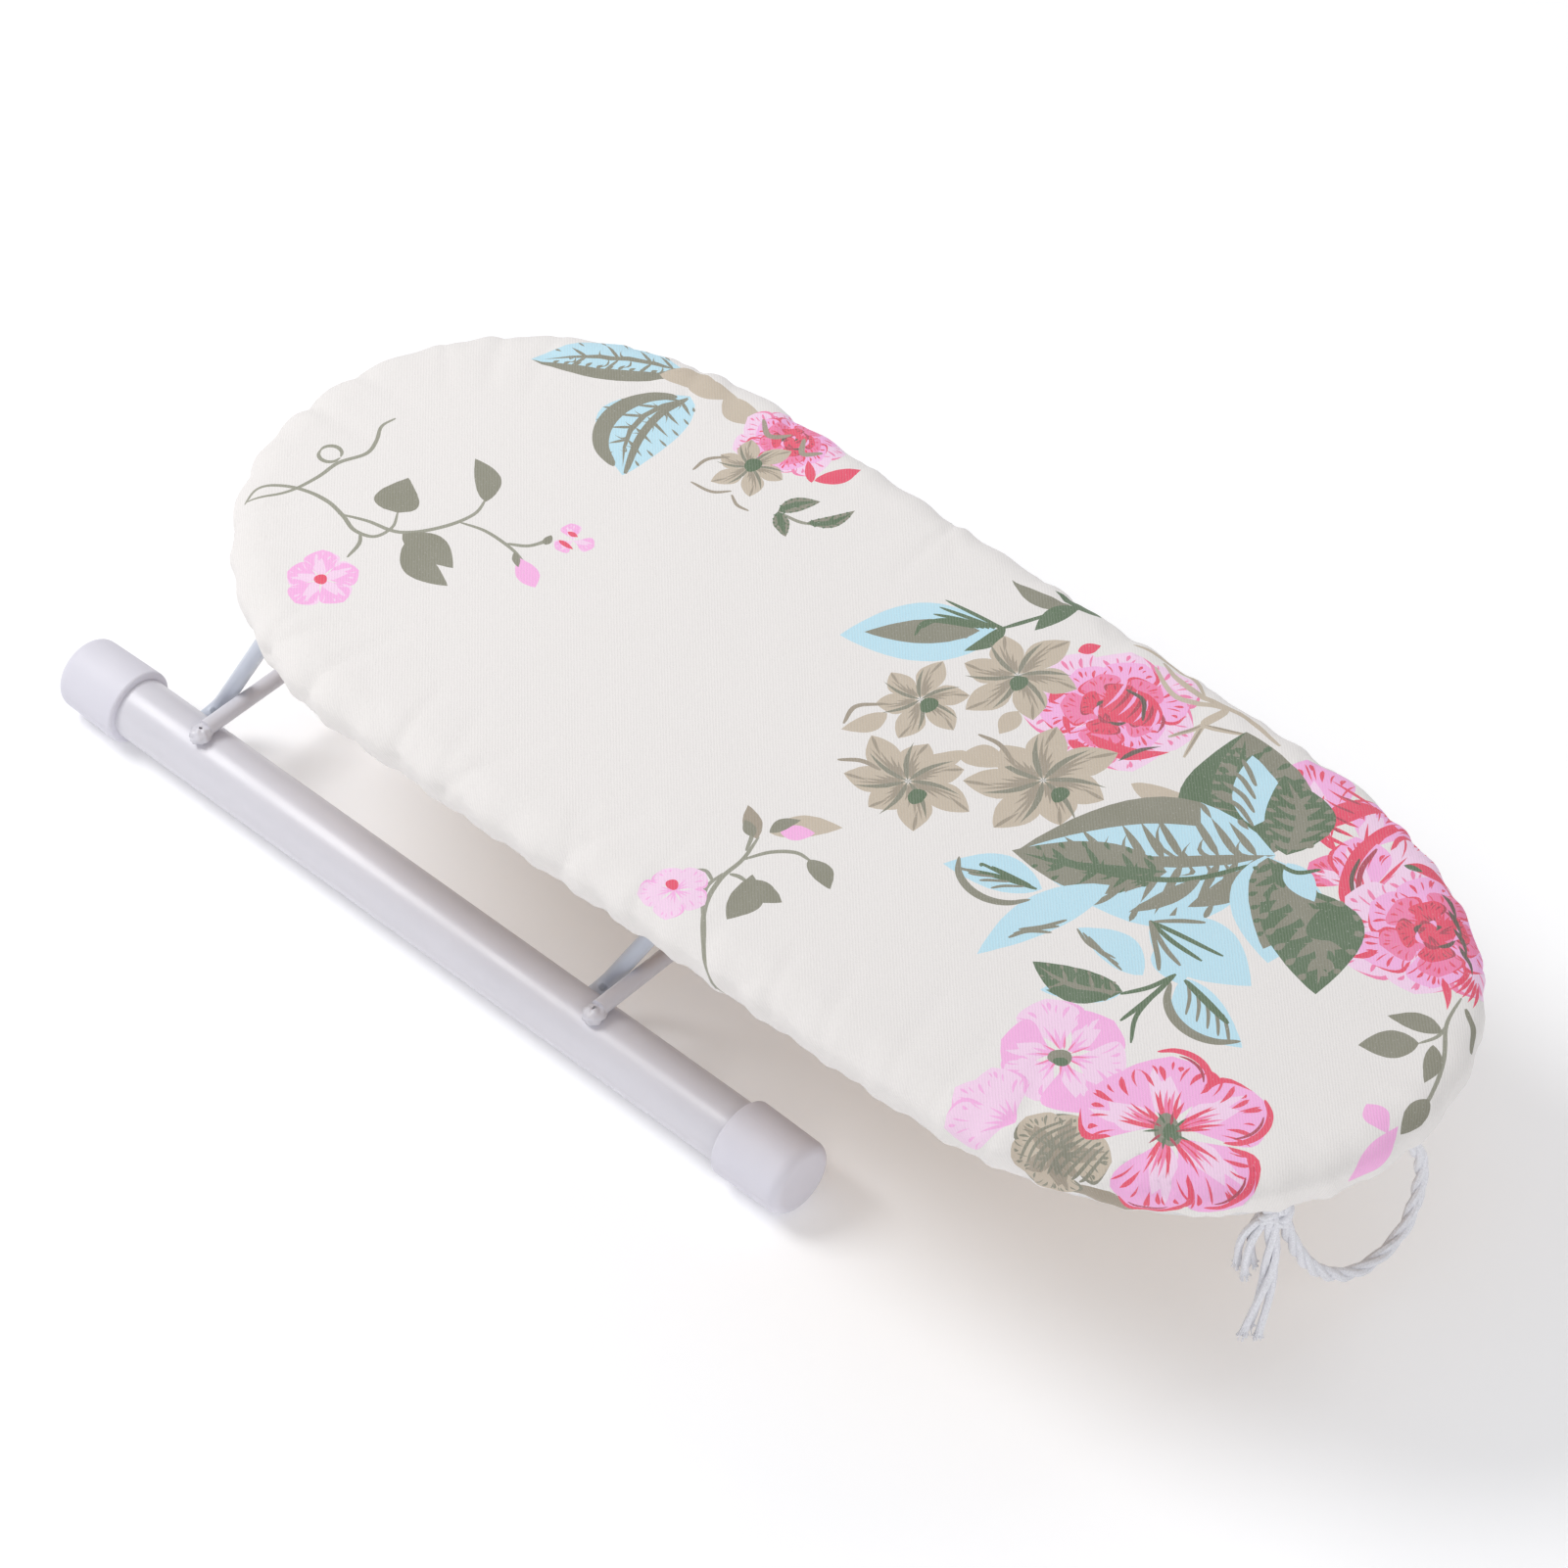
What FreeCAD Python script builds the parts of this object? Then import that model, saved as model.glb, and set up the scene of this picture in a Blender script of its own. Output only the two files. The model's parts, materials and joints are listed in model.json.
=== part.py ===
import FreeCAD
import Part
import Sketcher
import math
import os
import re

# A small folding sleeve ironing board that stands on a table. Two foot tubes
# with push-on end caps are joined by two welded cross rods. Two bent wire legs
# pivot in the tubes, lean on the cross rods and carry the padded board, whose
# cover is gathered underneath by a drawstring.
#
# Millimetres. +X points to the nose, the end that a sleeve is pulled over, +Z
# up. The origin is on the table, at the middle of the object's footprint.

VECTOR = FreeCAD.Vector

SIZES = [
    ("overall_length", 432.0, "heel end of the feet to the nose of the board"),
    ("foot_length", 286.0, "one foot, over its two end caps"),
    ("foot_spacing", 146.0, "between the two foot tube axes"),
    ("tube_radius", 9.5, "foot tube, outside"),
    ("tube_wall", 1.2, "foot tube wall"),
    ("cap_radius", 11.7, "end cap at its mouth"),
    ("cap_tip_radius", 11.3, "end cap at its closed end, before the rounding"),
    ("cap_length", 23.5, "end cap, over all"),
    ("cap_depth", 20.5, "end cap bore, a little deeper than the tube reaches"),
    ("tube_length", 279.0, "one foot tube"),
    ("cap_round", 3.2, "rounding of the closed end"),
    ("cap_lip", 0.9, "rounding of the mouth"),
    ("wire_radius", 2.5, "legs and cross rods"),
    ("cross_nose_x", -6.0, "nose cross rod"),
    ("cross_heel_x", -163.0, "heel cross rod"),
    ("weld_length", 4.6, "weld bead, half its length along the tube"),
    ("weld_width", 3.6, "weld bead, half its width across the tube"),
    ("weld_height", 1.9, "weld bead, half its height"),
    ("leg_lean", 28.5, "degrees from upright towards the nose"),
    ("leg_plane", 57.3, "legs' side wires, from the middle plane"),
    ("leg_gap", 0.3, "between a leaning leg and its cross rod"),
    ("pin_gap", 0.1, "pin in its hole, on the radius"),
    ("pin_reach", 69.5, "pin ends, from the middle plane"),
    ("foot_bend", 5.0, "bend from pin to side wire, centre line"),
    ("top_bend", 8.0, "bend from side wire to top bar, centre line"),
    ("bar_gap", 0.3, "between a top bar and the panel"),
    ("board_length", 403.0, "over the cover"),
    ("board_width", 169.5, "over the cover, at the middle of the footprint"),
    ("side_taper", 0.95, "degrees, each side narrows towards the nose"),
    ("nose_radius", 75.0, "outline at the nose"),
    ("nose_corner", 130.0, "outline between nose and side"),
    ("heel_radius", 81.0, "outline at the heel"),
    ("heel_corner", 110.0, "outline between heel and side"),
    ("panel_bottom", 79.0, "underside of the panel above the table"),
    ("panel_thickness", 7.0, "board panel"),
    ("panel_inset", 4.2, "panel edge inside the cover's outline"),
    ("pad_inset", 1.1, "pad edge inside the cover's outline"),
    ("pad_top", 91.9, "top of the pad above the table"),
    ("cover_thickness", 1.0, "cover cloth with its gathers"),
    ("edge_round", 5.5, "rounding of the cover's top edge"),
    ("under_round", 2.5, "rounding of the cover's lower edge"),
    ("flange_width", 11.5, "cover turned under the panel"),
    ("hem_inset", 8.0, "hem channel's centre line inside the cover's outline"),
    ("hem_radius", 2.4, "hem channel, outside"),
    ("hem_bore", 1.85, "hem channel, inside"),
    ("cord_radius", 1.75, "drawstring"),
    ("clip_offset", 36.0, "clips, from the middle plane"),
    ("clip_width", 12.0, "clip along the bar"),
    ("clip_ear", 15.0, "clip, half its length across the bar"),
    ("clip_sheet", 1.2, "clip sheet thickness"),
    ("clip_gap", 0.1, "clip on a top bar, on the radius"),
    ("screw_offset", 10.0, "screws, from the bar"),
    ("screw_radius", 1.4, "screw shank"),
    ("screw_length", 5.5, "screw, in the panel"),
    ("head_radius", 3.0, "screw head"),
    ("head_height", 2.0, "screw head"),
]

# The free ends of the drawstring: points of each route, from its start.
LOOP_ROUTE = [
    (207.5, -6.0, 75.0),
    (206.5, 6.0, 70.5),
    (206.0, 15.0, 58.5),
    (205.0, 19.5, 42.0),
    (203.5, 16.0, 21.0),
    (202.0, -1.0, 18.5),
    (200.0, -16.5, 31.0),
    (198.0, -26.5, 50.0),
    (197.0, -32.0, 69.0),
]
LONG_TAIL_ROUTE = [
    (197.0, -34.5, 68.5),
    (198.0, -35.0, 57.0),
    (197.8, -34.5, 46.5),
    (197.6, -37.0, 36.0),
    (197.0, -39.5, 27.0),
]
SHORT_TAIL_ROUTE = [
    (198.5, -27.5, 74.0),
    (194.0, -36.5, 66.5),
    (192.0, -39.0, 56.5),
    (191.5, -37.0, 46.0),
]
KNOT_CENTRE = VECTOR(196.4, -33.5, 69.2)
KNOT_RADII = VECTOR(5.2, 4.8, 4.2)
RUN_SHARE = 0.45

doc = FreeCAD.newDocument("SleeveIroningBoard")
sub_parts = []
ALIASES = {alias for alias, value, meaning in SIZES}


def fill_sheet():
    table = doc.addObject("Spreadsheet::Sheet", "Sizes")
    for row, (alias, value, meaning) in enumerate(SIZES, start=1):
        table.set("A%d" % row, alias)
        table.set("B%d" % row, str(value))
        table.set("C%d" % row, meaning)
        table.setAlias("B%d" % row, alias)
    doc.recompute()
    return table


sheet = fill_sheet()

# Places worked out from the driving sizes, as expressions.
FOOT_MIDDLE = "(foot_length - overall_length) / 2"
NOSE_X = "overall_length / 2"
HEEL_X = "(overall_length / 2 - board_length)"
CROSS_HEIGHT = "(cap_radius + tube_radius + wire_radius)"
PIVOT_BACK = (
    "((2 * wire_radius + leg_gap) / cos(leg_lean * 1deg)"
    " + (tube_radius + wire_radius) * tan(leg_lean * 1deg))"
)
BAR_HEIGHT = "(panel_bottom - wire_radius - bar_gap)"
LEG_LENGTH = "((%s - cap_radius) / cos(leg_lean * 1deg))" % BAR_HEIGHT
BAR_FORWARD = "((%s - cap_radius) * tan(leg_lean * 1deg))" % BAR_HEIGHT
COVER_BOTTOM = "(panel_bottom - cover_thickness)"
COVER_HEIGHT = "(pad_top + 2 * cover_thickness - panel_bottom)"
HEM_HEIGHT = "(panel_bottom - cover_thickness - hem_radius)"


def bound(text):
    """Point every alias in an expression at its cell."""
    return re.sub(r"[a-z_]+", lambda found: cell_name(found.group()), text)


def cell_name(word):
    return "Sizes." + word if word in ALIASES else word


def value_of(text):
    return float(sheet.evalExpression(text))


def bind(thing, **properties):
    for name, text in properties.items():
        thing.setExpression(name.replace("__", "."), bound(text))


def place(thing, along="0", across="0", up="0", turn=None):
    if turn:
        thing.Placement = FreeCAD.Placement(VECTOR(), turn)
    bind(thing, Placement__Base__x=along, Placement__Base__y=across, Placement__Base__z=up)


def keep(thing, label):
    """Name a finished sub-part. The label is also its file's name."""
    thing.Label = label
    sub_parts.append(thing)
    return thing


def add_body(name):
    return doc.addObject("PartDesign::Body", name)


def add_sketch(body, role, name, lift=None):
    sketch = body.newObject("Sketcher::SketchObject", name)
    support = next(item for item in body.Origin.OriginFeatures if item.Role == role)
    sketch.AttachmentSupport = [(support, "")]
    sketch.MapMode = "FlatFace"
    if lift:
        bind(sketch, AttachmentOffset__Base__z=lift)
    return sketch


def dimension(sketch, kind, where, text):
    value = value_of(text) if kind != "Angle" else math.radians(value_of(text))
    index = sketch.addConstraint(Sketcher.Constraint(kind, *where, value))
    sketch.setExpression("Constraints[%d]" % index, bound(text))


def add_circle(sketch, radius, first="0", second="0"):
    centre = VECTOR(value_of(first), value_of(second), 0)
    index = sketch.addGeometry(Part.Circle(centre, VECTOR(0, 0, 1), value_of(radius)), False)
    dimension(sketch, "Radius", (index,), radius)
    dimension(sketch, "DistanceX", (-1, 1, index, 3), first)
    dimension(sketch, "DistanceY", (-1, 1, index, 3), second)


def small_arc(start, end, radius, side):
    """The shorter arc from start to end, bending to the left (side 1) or right (side -1)."""
    chord = end - start
    rise = math.sqrt(radius**2 - chord.Length**2 / 4)
    centre = (start + end) / 2 + VECTOR(-chord.y, chord.x, 0) / chord.Length * rise * side
    angles = [math.atan2(point.y - centre.y, point.x - centre.x) for point in (start, end)]
    circle = Part.Circle(centre, VECTOR(0, 0, 1), radius)
    return Part.ArcOfCircle(circle, *angles[::side])


def add_profile(sketch, corners, closed=True):
    """Join corners in order. A corner is its two coordinates, and a radius and a
    side (1 left, -1 right) where an arc leads on from it, all but the side as
    expressions."""
    places = [VECTOR(value_of(corner[0]), value_of(corner[1]), 0) for corner in corners]
    following = places[1:] + places[:1]
    edges = []
    for corner, start, end in zip(corners, places, following):
        if corner is corners[-1] and not closed:
            break
        if len(corner) == 2:
            index = sketch.addGeometry(Part.LineSegment(start, end), False)
            edges.append((index, 1, 2))
            continue
        side = corner[3]
        index = sketch.addGeometry(small_arc(start, end, value_of(corner[2]), side), False)
        edges.append((index, 1, 2) if side == 1 else (index, 2, 1))
        dimension(sketch, "Radius", (index,), corner[2])
    for number, (index, first_end, last_end) in enumerate(edges):
        dimension(sketch, "DistanceX", (-1, 1, index, first_end), corners[number][0])
        dimension(sketch, "DistanceY", (-1, 1, index, first_end), corners[number][1])
        if number > 0:
            before = edges[number - 1]
            sketch.addConstraint(Sketcher.Constraint("Coincident", before[0], before[2], index, first_end))
    index, first_end, last_end = edges[-1]
    if closed:
        meeting = Sketcher.Constraint("Coincident", index, last_end, edges[0][0], edges[0][1])
        sketch.addConstraint(meeting)
    else:
        dimension(sketch, "DistanceX", (-1, 1, index, last_end), corners[-1][0])
        dimension(sketch, "DistanceY", (-1, 1, index, last_end), corners[-1][1])


def outline_places(inset):
    """Centres, radii and joints of the board's outline, drawn in by inset."""
    taper = math.radians(value_of("side_taper"))
    half_width = value_of("board_width") / 2
    ends = []
    for tip, nose, corner, sign in (
        (value_of(NOSE_X), value_of("nose_radius"), value_of("nose_corner"), 1),
        (value_of(HEEL_X), value_of("heel_radius"), value_of("heel_corner"), -1),
    ):
        nose_x = tip - sign * nose
        # The corner's centre is one radius inside the side line and lies on a
        # circle about the nose's centre, where the two arcs touch inside.
        reach = abs(nose - corner)
        offset = half_width * math.cos(taper) - corner
        lower = offset - nose_x * math.sin(taper)
        swing = math.sqrt(reach**2 - lower**2) * (sign if nose > corner else -sign)
        corner_x = nose_x + swing * math.cos(taper) + lower * math.sin(taper)
        corner_y = lower * math.cos(taper) - swing * math.sin(taper)
        away = VECTOR(corner_x - nose_x, corner_y, 0)
        away = away / away.Length * (1 if nose > corner else -1)
        nose_middle = VECTOR(nose_x, 0, 0)
        corner_middle = VECTOR(corner_x, corner_y, 0)
        joint = nose_middle + away * (nose - inset)
        foot = corner_middle + VECTOR(math.sin(taper), math.cos(taper), 0) * (corner - inset)
        ends.append((nose_middle, corner_middle, joint, foot, nose - inset, corner - inset))
    return ends


def mirrored(point):
    return VECTOR(point.x, -point.y, point.z)


def add_outline(sketch, inset):
    """The board's outline drawn in by inset: two arcs at each end, tangent all round."""
    nose_end, heel_end = outline_places(value_of(inset))
    indexes = []

    def arc(centre, radius, start, end):
        angles = [math.atan2(point.y - centre.y, point.x - centre.x) for point in (start, end)]
        circle = Part.Circle(centre, VECTOR(0, 0, 1), radius)
        indexes.append(sketch.addGeometry(Part.ArcOfCircle(circle, *angles), False))

    def line(start, end):
        indexes.append(sketch.addGeometry(Part.LineSegment(start, end), False))

    for end, other in ((nose_end, heel_end), (heel_end, nose_end)):
        middle, corner, joint, foot, nose, bend = end
        # Anticlockwise: the nose end starts at its lower joint, the heel end at its upper one.
        flip = (lambda point: point) if end is nose_end else mirrored
        arc(middle, nose, flip(mirrored(joint)), flip(joint))
        arc(flip(corner), bend, flip(joint), flip(foot))
        line(flip(foot), flip(other[3]))
        arc(flip(other[1]), other[5], flip(other[3]), flip(other[2]))
    for number, index in enumerate(indexes):
        follower = indexes[(number + 1) % len(indexes)]
        sketch.addConstraint(Sketcher.Constraint("Tangent", index, 2, follower, 1))
    radii = ("nose_radius", "nose_corner", None, "heel_corner")
    radii += ("heel_radius", "heel_corner", None, "nose_corner")
    for index, name in zip(indexes, radii):
        if name:
            dimension(sketch, "Radius", (index,), "%s - %s" % (name, inset))
    for index, text in ((indexes[0], NOSE_X + " - nose_radius"), (indexes[4], HEEL_X + " + heel_radius")):
        sketch.addConstraint(Sketcher.Constraint("PointOnObject", index, 3, -1))
        dimension(sketch, "DistanceX", (-1, 1, index, 3), text)
    for index in (indexes[2], indexes[6]):
        dimension(sketch, "Distance", (-1, 1, index), "board_width / 2 * cos(side_taper * 1deg) - " + inset)
    dimension(sketch, "Angle", (indexes[2],), "180 - side_taper")
    dimension(sketch, "Angle", (indexes[6],), "side_taper")


def edges_at(shape, height):
    """Numbers of the edges that lie flat at one height."""
    numbers = []
    for number, edge in enumerate(shape.Edges, start=1):
        box = edge.BoundBox
        if abs(box.ZMin - height) < 1e-3 and abs(box.ZMax - height) < 1e-3:
            numbers.append(number)
    return numbers


def pad_feature(body, sketch, name, length, symmetric=False):
    pad = body.newObject("PartDesign::Pad", name)
    pad.Profile = sketch
    bind(pad, Length=length)
    if symmetric:
        pad.SideType = "Symmetric"
    return pad


def pocket_feature(body, sketch, name, depth, reverse=False):
    doc.recompute()
    before = body.Shape.Volume
    pocket = body.newObject("PartDesign::Pocket", name)
    pocket.Profile = sketch
    bind(pocket, Length=depth)
    pocket.Reversed = reverse
    doc.recompute()
    if not body.Shape.Volume < before - 0.01:
        raise RuntimeError(name + " cuts nothing")
    return pocket


def make_foot_tube(label, side):
    """A straight tube with two pin holes in its inner wall."""
    body = add_body(label)
    section = add_sketch(body, "YZ_Plane", label + "_section")
    add_circle(section, "tube_radius")
    add_circle(section, "tube_radius - tube_wall")
    pad_feature(body, section, label + "_length", "tube_length", symmetric=True)
    holes = add_sketch(body, "XZ_Plane", label + "_holes")
    for cross in ("cross_nose_x", "cross_heel_x"):
        along = "%s - %s - %s" % (cross, PIVOT_BACK, FOOT_MIDDLE)
        add_circle(holes, "wire_radius + pin_gap", along)
    pocket_feature(body, holes, label + "_pin_holes", "tube_radius + 1", reverse=side > 0)
    place(body, FOOT_MIDDLE, "%d * foot_spacing / 2" % side, "cap_radius")
    return keep(body, label)


def make_foot_cap(label, side, end):
    """A push-on cap: a stepped profile turned about the tube's axis."""
    body = add_body(label)
    profile = add_sketch(body, "XZ_Plane", label + "_profile")
    add_profile(profile, [
        ("0", "tube_radius"),
        ("0", "cap_radius - cap_lip", "cap_lip", -1),
        ("cap_lip", "cap_radius"),
        ("cap_length - cap_round", "cap_tip_radius", "cap_round", -1),
        ("cap_length", "cap_tip_radius - cap_round"),
        ("cap_length", "0"),
        ("cap_depth", "0"),
        ("cap_depth", "tube_radius"),
    ])
    turned = body.newObject("PartDesign::Revolution", label + "_turned")
    turned.Profile = profile
    turned.ReferenceAxis = (profile, ["H_Axis"])
    turned.Angle = 360
    turn = FreeCAD.Rotation(VECTOR(0, 0, 1), 0 if end > 0 else 180)
    along = "%s + %d * (foot_length / 2 - cap_length)" % (FOOT_MIDDLE, end)
    place(body, along, "%d * foot_spacing / 2" % side, "cap_radius", turn)
    return keep(body, label)


def make_cross_rod(label, along):
    rod = doc.addObject("Part::Cylinder", label)
    bind(rod, Radius="wire_radius", Height="foot_spacing")
    turn = FreeCAD.Rotation(VECTOR(1, 0, 0), -90)
    place(rod, along, "-foot_spacing / 2", CROSS_HEIGHT, turn)
    return keep(rod, label)


def make_weld(label, side, along):
    bead = doc.addObject("Part::Ellipsoid", label)
    bind(bead, Radius1="weld_height", Radius2="weld_length", Radius3="weld_width")
    place(bead, along, "%d * foot_spacing / 2" % side, "cap_radius + tube_radius + weld_height / 3")
    return keep(bead, label)


def make_leg(label, cross):
    """A wire bent to a U, with its ends turned out as pins. Its origin is on the pins' axis."""
    body = add_body(label)
    path = add_sketch(body, "YZ_Plane", label + "_path")
    add_profile(path, [
        ("-pin_reach", "0"),
        ("-leg_plane - foot_bend", "0", "foot_bend", 1),
        ("-leg_plane", "foot_bend"),
        ("-leg_plane", LEG_LENGTH + " - top_bend", "top_bend", -1),
        ("-leg_plane + top_bend", LEG_LENGTH),
        ("leg_plane - top_bend", LEG_LENGTH, "top_bend", -1),
        ("leg_plane", LEG_LENGTH + " - top_bend"),
        ("leg_plane", "foot_bend", "foot_bend", 1),
        ("leg_plane + foot_bend", "0"),
        ("pin_reach", "0"),
    ], closed=False)
    section = add_sketch(body, "XZ_Plane", label + "_section", lift="pin_reach")
    add_circle(section, "wire_radius")
    wire = body.newObject("PartDesign::AdditivePipe", label + "_wire")
    wire.Profile = section
    wire.Spine = path
    turn = FreeCAD.Rotation(VECTOR(0, 1, 0), value_of("leg_lean"))
    place(body, "%s - %s" % (cross, PIVOT_BACK), "0", "cap_radius", turn)
    return keep(body, label)


def make_panel():
    """The stiff board, with a blind pilot hole for every clip screw."""
    body = add_body("board_panel")
    outline = add_sketch(body, "XY_Plane", "panel_outline")
    add_outline(outline, "panel_inset")
    pad_feature(body, outline, "panel_plate", "panel_thickness")
    pilots = add_sketch(body, "XY_Plane", "panel_pilots")
    for cross, side, screw in screw_places():
        along = "%s - %s + %s + %d * screw_offset" % (cross, PIVOT_BACK, BAR_FORWARD, screw)
        add_circle(pilots, "screw_radius", along, "%d * clip_offset" % side)
    pocket_feature(body, pilots, "panel_pilot_holes", "screw_length", reverse=True)
    place(body, up="panel_bottom")
    return keep(body, "board_panel")


def screw_places():
    """The cross rod, clip side and screw side of every clip screw."""
    return [
        (cross, side, screw)
        for cross in ("cross_nose_x", "cross_heel_x")
        for side in (1, -1)
        for screw in (1, -1)
    ]


def make_foam_pad():
    """Foam over the panel and down its edge."""
    body = add_body("foam_pad")
    outline = add_sketch(body, "XY_Plane", "pad_outline")
    add_outline(outline, "pad_inset")
    block = pad_feature(body, outline, "pad_block", "pad_top - panel_bottom")
    doc.recompute()
    top = ["Edge%d" % number for number in edges_at(block.Shape, value_of("pad_top - panel_bottom"))]
    rounding = body.newObject("PartDesign::Fillet", "pad_rounding")
    rounding.Base = (block, top)
    bind(rounding, Radius="edge_round - pad_inset")
    hollow = add_sketch(body, "XY_Plane", "pad_hollow")
    add_outline(hollow, "panel_inset")
    pocket_feature(body, hollow, "pad_seat", "panel_thickness", reverse=True)
    place(body, up="panel_bottom")
    return keep(body, "foam_pad")


def outline_block(name, inset, height, up, rounding=None, lower_rounding=None):
    """A plate of the board's outline, drawn in by inset, with rounded upper and lower edges."""
    sketch = doc.addObject("Sketcher::SketchObject", name + "_outline")
    add_outline(sketch, inset)
    block = doc.addObject("Part::Extrusion", name + "_block")
    block.Base = sketch
    block.Dir = VECTOR(0, 0, 1)
    block.Solid = True
    bind(block, LengthFwd=height)
    place(block, up=up)
    doc.recompute()
    if not rounding:
        return block
    rounded = doc.addObject("Part::Fillet", name + "_rounded")
    rounded.Base = block
    bottom = value_of(up)
    top = bottom + value_of(height)
    edges = [(number, value_of(rounding), value_of(rounding)) for number in edges_at(block.Shape, top)]
    if lower_rounding:
        radius = value_of(lower_rounding)
        edges += [(number, radius, radius) for number in edges_at(block.Shape, bottom)]
    rounded.Edges = edges
    return rounded


def cut(name, base, tool):
    result = doc.addObject("Part::Cut", name)
    result.Base = base
    result.Tool = tool
    return result


def make_cover():
    """Cloth drawn over the pad and turned under the panel all round."""
    skin = outline_block("cover_skin", "0", COVER_HEIGHT, COVER_BOTTOM, "edge_round", "under_round")
    filling = outline_block(
        "cover_filling", "cover_thickness", "pad_top + 0.1 - panel_bottom", "panel_bottom",
        "edge_round - cover_thickness",
    )
    mouth = outline_block("cover_mouth", "flange_width", "2 * cover_thickness", COVER_BOTTOM + " - 0.5")
    return keep(cut("cover", cut("cover_shell", skin, filling), mouth), "cover")


def ring(name, radius):
    """A round rod bent along the hem's centre line."""
    route = doc.addObject("Sketcher::SketchObject", name + "_route")
    add_outline(route, "hem_inset")
    place(route, up=HEM_HEIGHT)
    section = doc.addObject("Part::Circle", name + "_section")
    bind(section, Radius=radius)
    turn = FreeCAD.Rotation(VECTOR(1, 0, 0), 90)
    place(section, NOSE_X + " - hem_inset", "0", HEM_HEIGHT, turn)
    doc.recompute()
    sweep = doc.addObject("Part::Sweep", name)
    sweep.Sections = [section]
    sweep.Spine = (route, ["Edge%d" % number for number in range(1, len(route.Shape.Edges) + 1)])
    sweep.Solid = True
    return sweep


def make_hem():
    """The sewn channel along the cover's edge and the drawstring inside it."""
    channel = cut("hem_channel", ring("hem_tube", "hem_radius"), ring("hem_hollow", "hem_bore"))
    keep(channel, "hem_channel")
    keep(ring("drawstring_in_hem", "cord_radius"), "drawstring_in_hem")


def make_clip(label, cross, side):
    """A sheet saddle over a top bar, with a screw hole in each ear."""
    body = add_body(label)
    profile = add_sketch(body, "XZ_Plane", label + "_profile")
    inner = "(wire_radius + clip_gap)"
    outer = "(wire_radius + clip_gap + clip_sheet)"
    drop = "-(wire_radius + bar_gap)"
    add_profile(profile, [
        ("-clip_ear", "0"),
        ("-clip_ear", "-clip_sheet"),
        ("-" + outer, "-clip_sheet"),
        ("-" + outer, drop, outer, 1),
        ("0", "%s - %s" % (drop, outer), outer, 1),
        (outer, drop),
        (outer, "-clip_sheet"),
        ("clip_ear", "-clip_sheet"),
        ("clip_ear", "0"),
        (inner, "0"),
        (inner, drop, inner, -1),
        ("0", "%s - %s" % (drop, inner), inner, -1),
        ("-" + inner, drop),
        ("-" + inner, "0"),
    ])
    pad_feature(body, profile, label + "_strip", "clip_width", symmetric=True)
    holes = add_sketch(body, "XY_Plane", label + "_holes")
    for screw in (1, -1):
        add_circle(holes, "screw_radius + 0.2", "%d * screw_offset" % screw)
    pocket_feature(body, holes, label + "_screw_holes", "clip_sheet + 1")
    along = "%s - %s + %s" % (cross, PIVOT_BACK, BAR_FORWARD)
    place(body, along, "%d * clip_offset" % side, "panel_bottom")
    return keep(body, label)


def make_screws():
    """Eight equal screws, head down, as one group."""
    screws = []
    for number, (cross, side, screw) in enumerate(screw_places()):
        name = "screw_%d" % number
        along = "%s - %s + %s + %d * screw_offset" % (cross, PIVOT_BACK, BAR_FORWARD, screw)
        across = "%d * clip_offset" % side
        shank = doc.addObject("Part::Cylinder", name + "_shank")
        bind(shank, Radius="screw_radius", Height="screw_length + clip_sheet")
        place(shank, along, across, "panel_bottom - clip_sheet")
        head = doc.addObject("Part::Cone", name + "_head")
        bind(head, Radius1="head_radius * 0.7", Radius2="head_radius", Height="head_height")
        place(head, along, across, "panel_bottom - clip_sheet - head_height")
        whole = doc.addObject("Part::Fuse", name)
        whole.Base = shank
        whole.Tool = head
        screws.append(whole)
    group = doc.addObject("Part::Compound", "clip_screws")
    group.Links = screws
    return keep(group, "clip_screws")


def cord_tube(label, route, radius):
    """A tube of straight runs joined by arcs as large as the runs allow."""
    points = [VECTOR(*point) for point in route]
    edges = []
    radii = []
    last = points[0]
    for before, here, after in zip(points, points[1:], points[2:]):
        arriving = (here - before).normalize()
        leaving = (after - here).normalize()
        turn = arriving.getAngle(leaving)
        tangent = RUN_SHARE * min((here - before).Length, (after - here).Length)
        radii.append(tangent / math.tan(turn / 2))
        start = here - arriving * tangent
        end = here + leaving * tangent
        centre = here + (leaving - arriving).normalize() * (radii[-1] / math.cos(turn / 2))
        middle = centre + (here - centre).normalize() * radii[-1]
        edges.append(Part.LineSegment(last, start).toShape())
        edges.append(Part.Arc(start, middle, end).toShape())
        last = end
    edges.append(Part.LineSegment(last, points[-1]).toShape())
    path = Part.Wire(edges)
    circle = Part.Circle(points[0], points[1] - points[0], radius)
    tube = path.makePipeShell([Part.Wire(circle.toShape())], True, True)
    expected = math.pi * radius**2 * path.Length
    print("%s: length %.1f, radii %s, volume ratio %.4f" % (
        label, path.Length, [round(bend, 1) for bend in radii], tube.Volume / expected))
    if abs(tube.Volume / expected - 1) > 0.01:
        raise RuntimeError(label + " has the wrong volume")
    feature = doc.addObject("Part::Feature", label)
    feature.Shape = tube
    return keep(feature, label)


def make_free_cords():
    radius = cell_value("cord_radius")
    cord_tube("drawstring_loop", LOOP_ROUTE, radius)
    cord_tube("drawstring_tail_long", LONG_TAIL_ROUTE, radius)
    cord_tube("drawstring_tail_short", SHORT_TAIL_ROUTE, radius)
    knot = doc.addObject("Part::Ellipsoid", "drawstring_knot")
    knot.Radius1 = KNOT_RADII.z
    knot.Radius2 = KNOT_RADII.x
    knot.Radius3 = KNOT_RADII.y
    knot.Placement.Base = KNOT_CENTRE
    keep(knot, "drawstring_knot")


def cell_value(alias):
    return float(getattr(sheet, alias))


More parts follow.
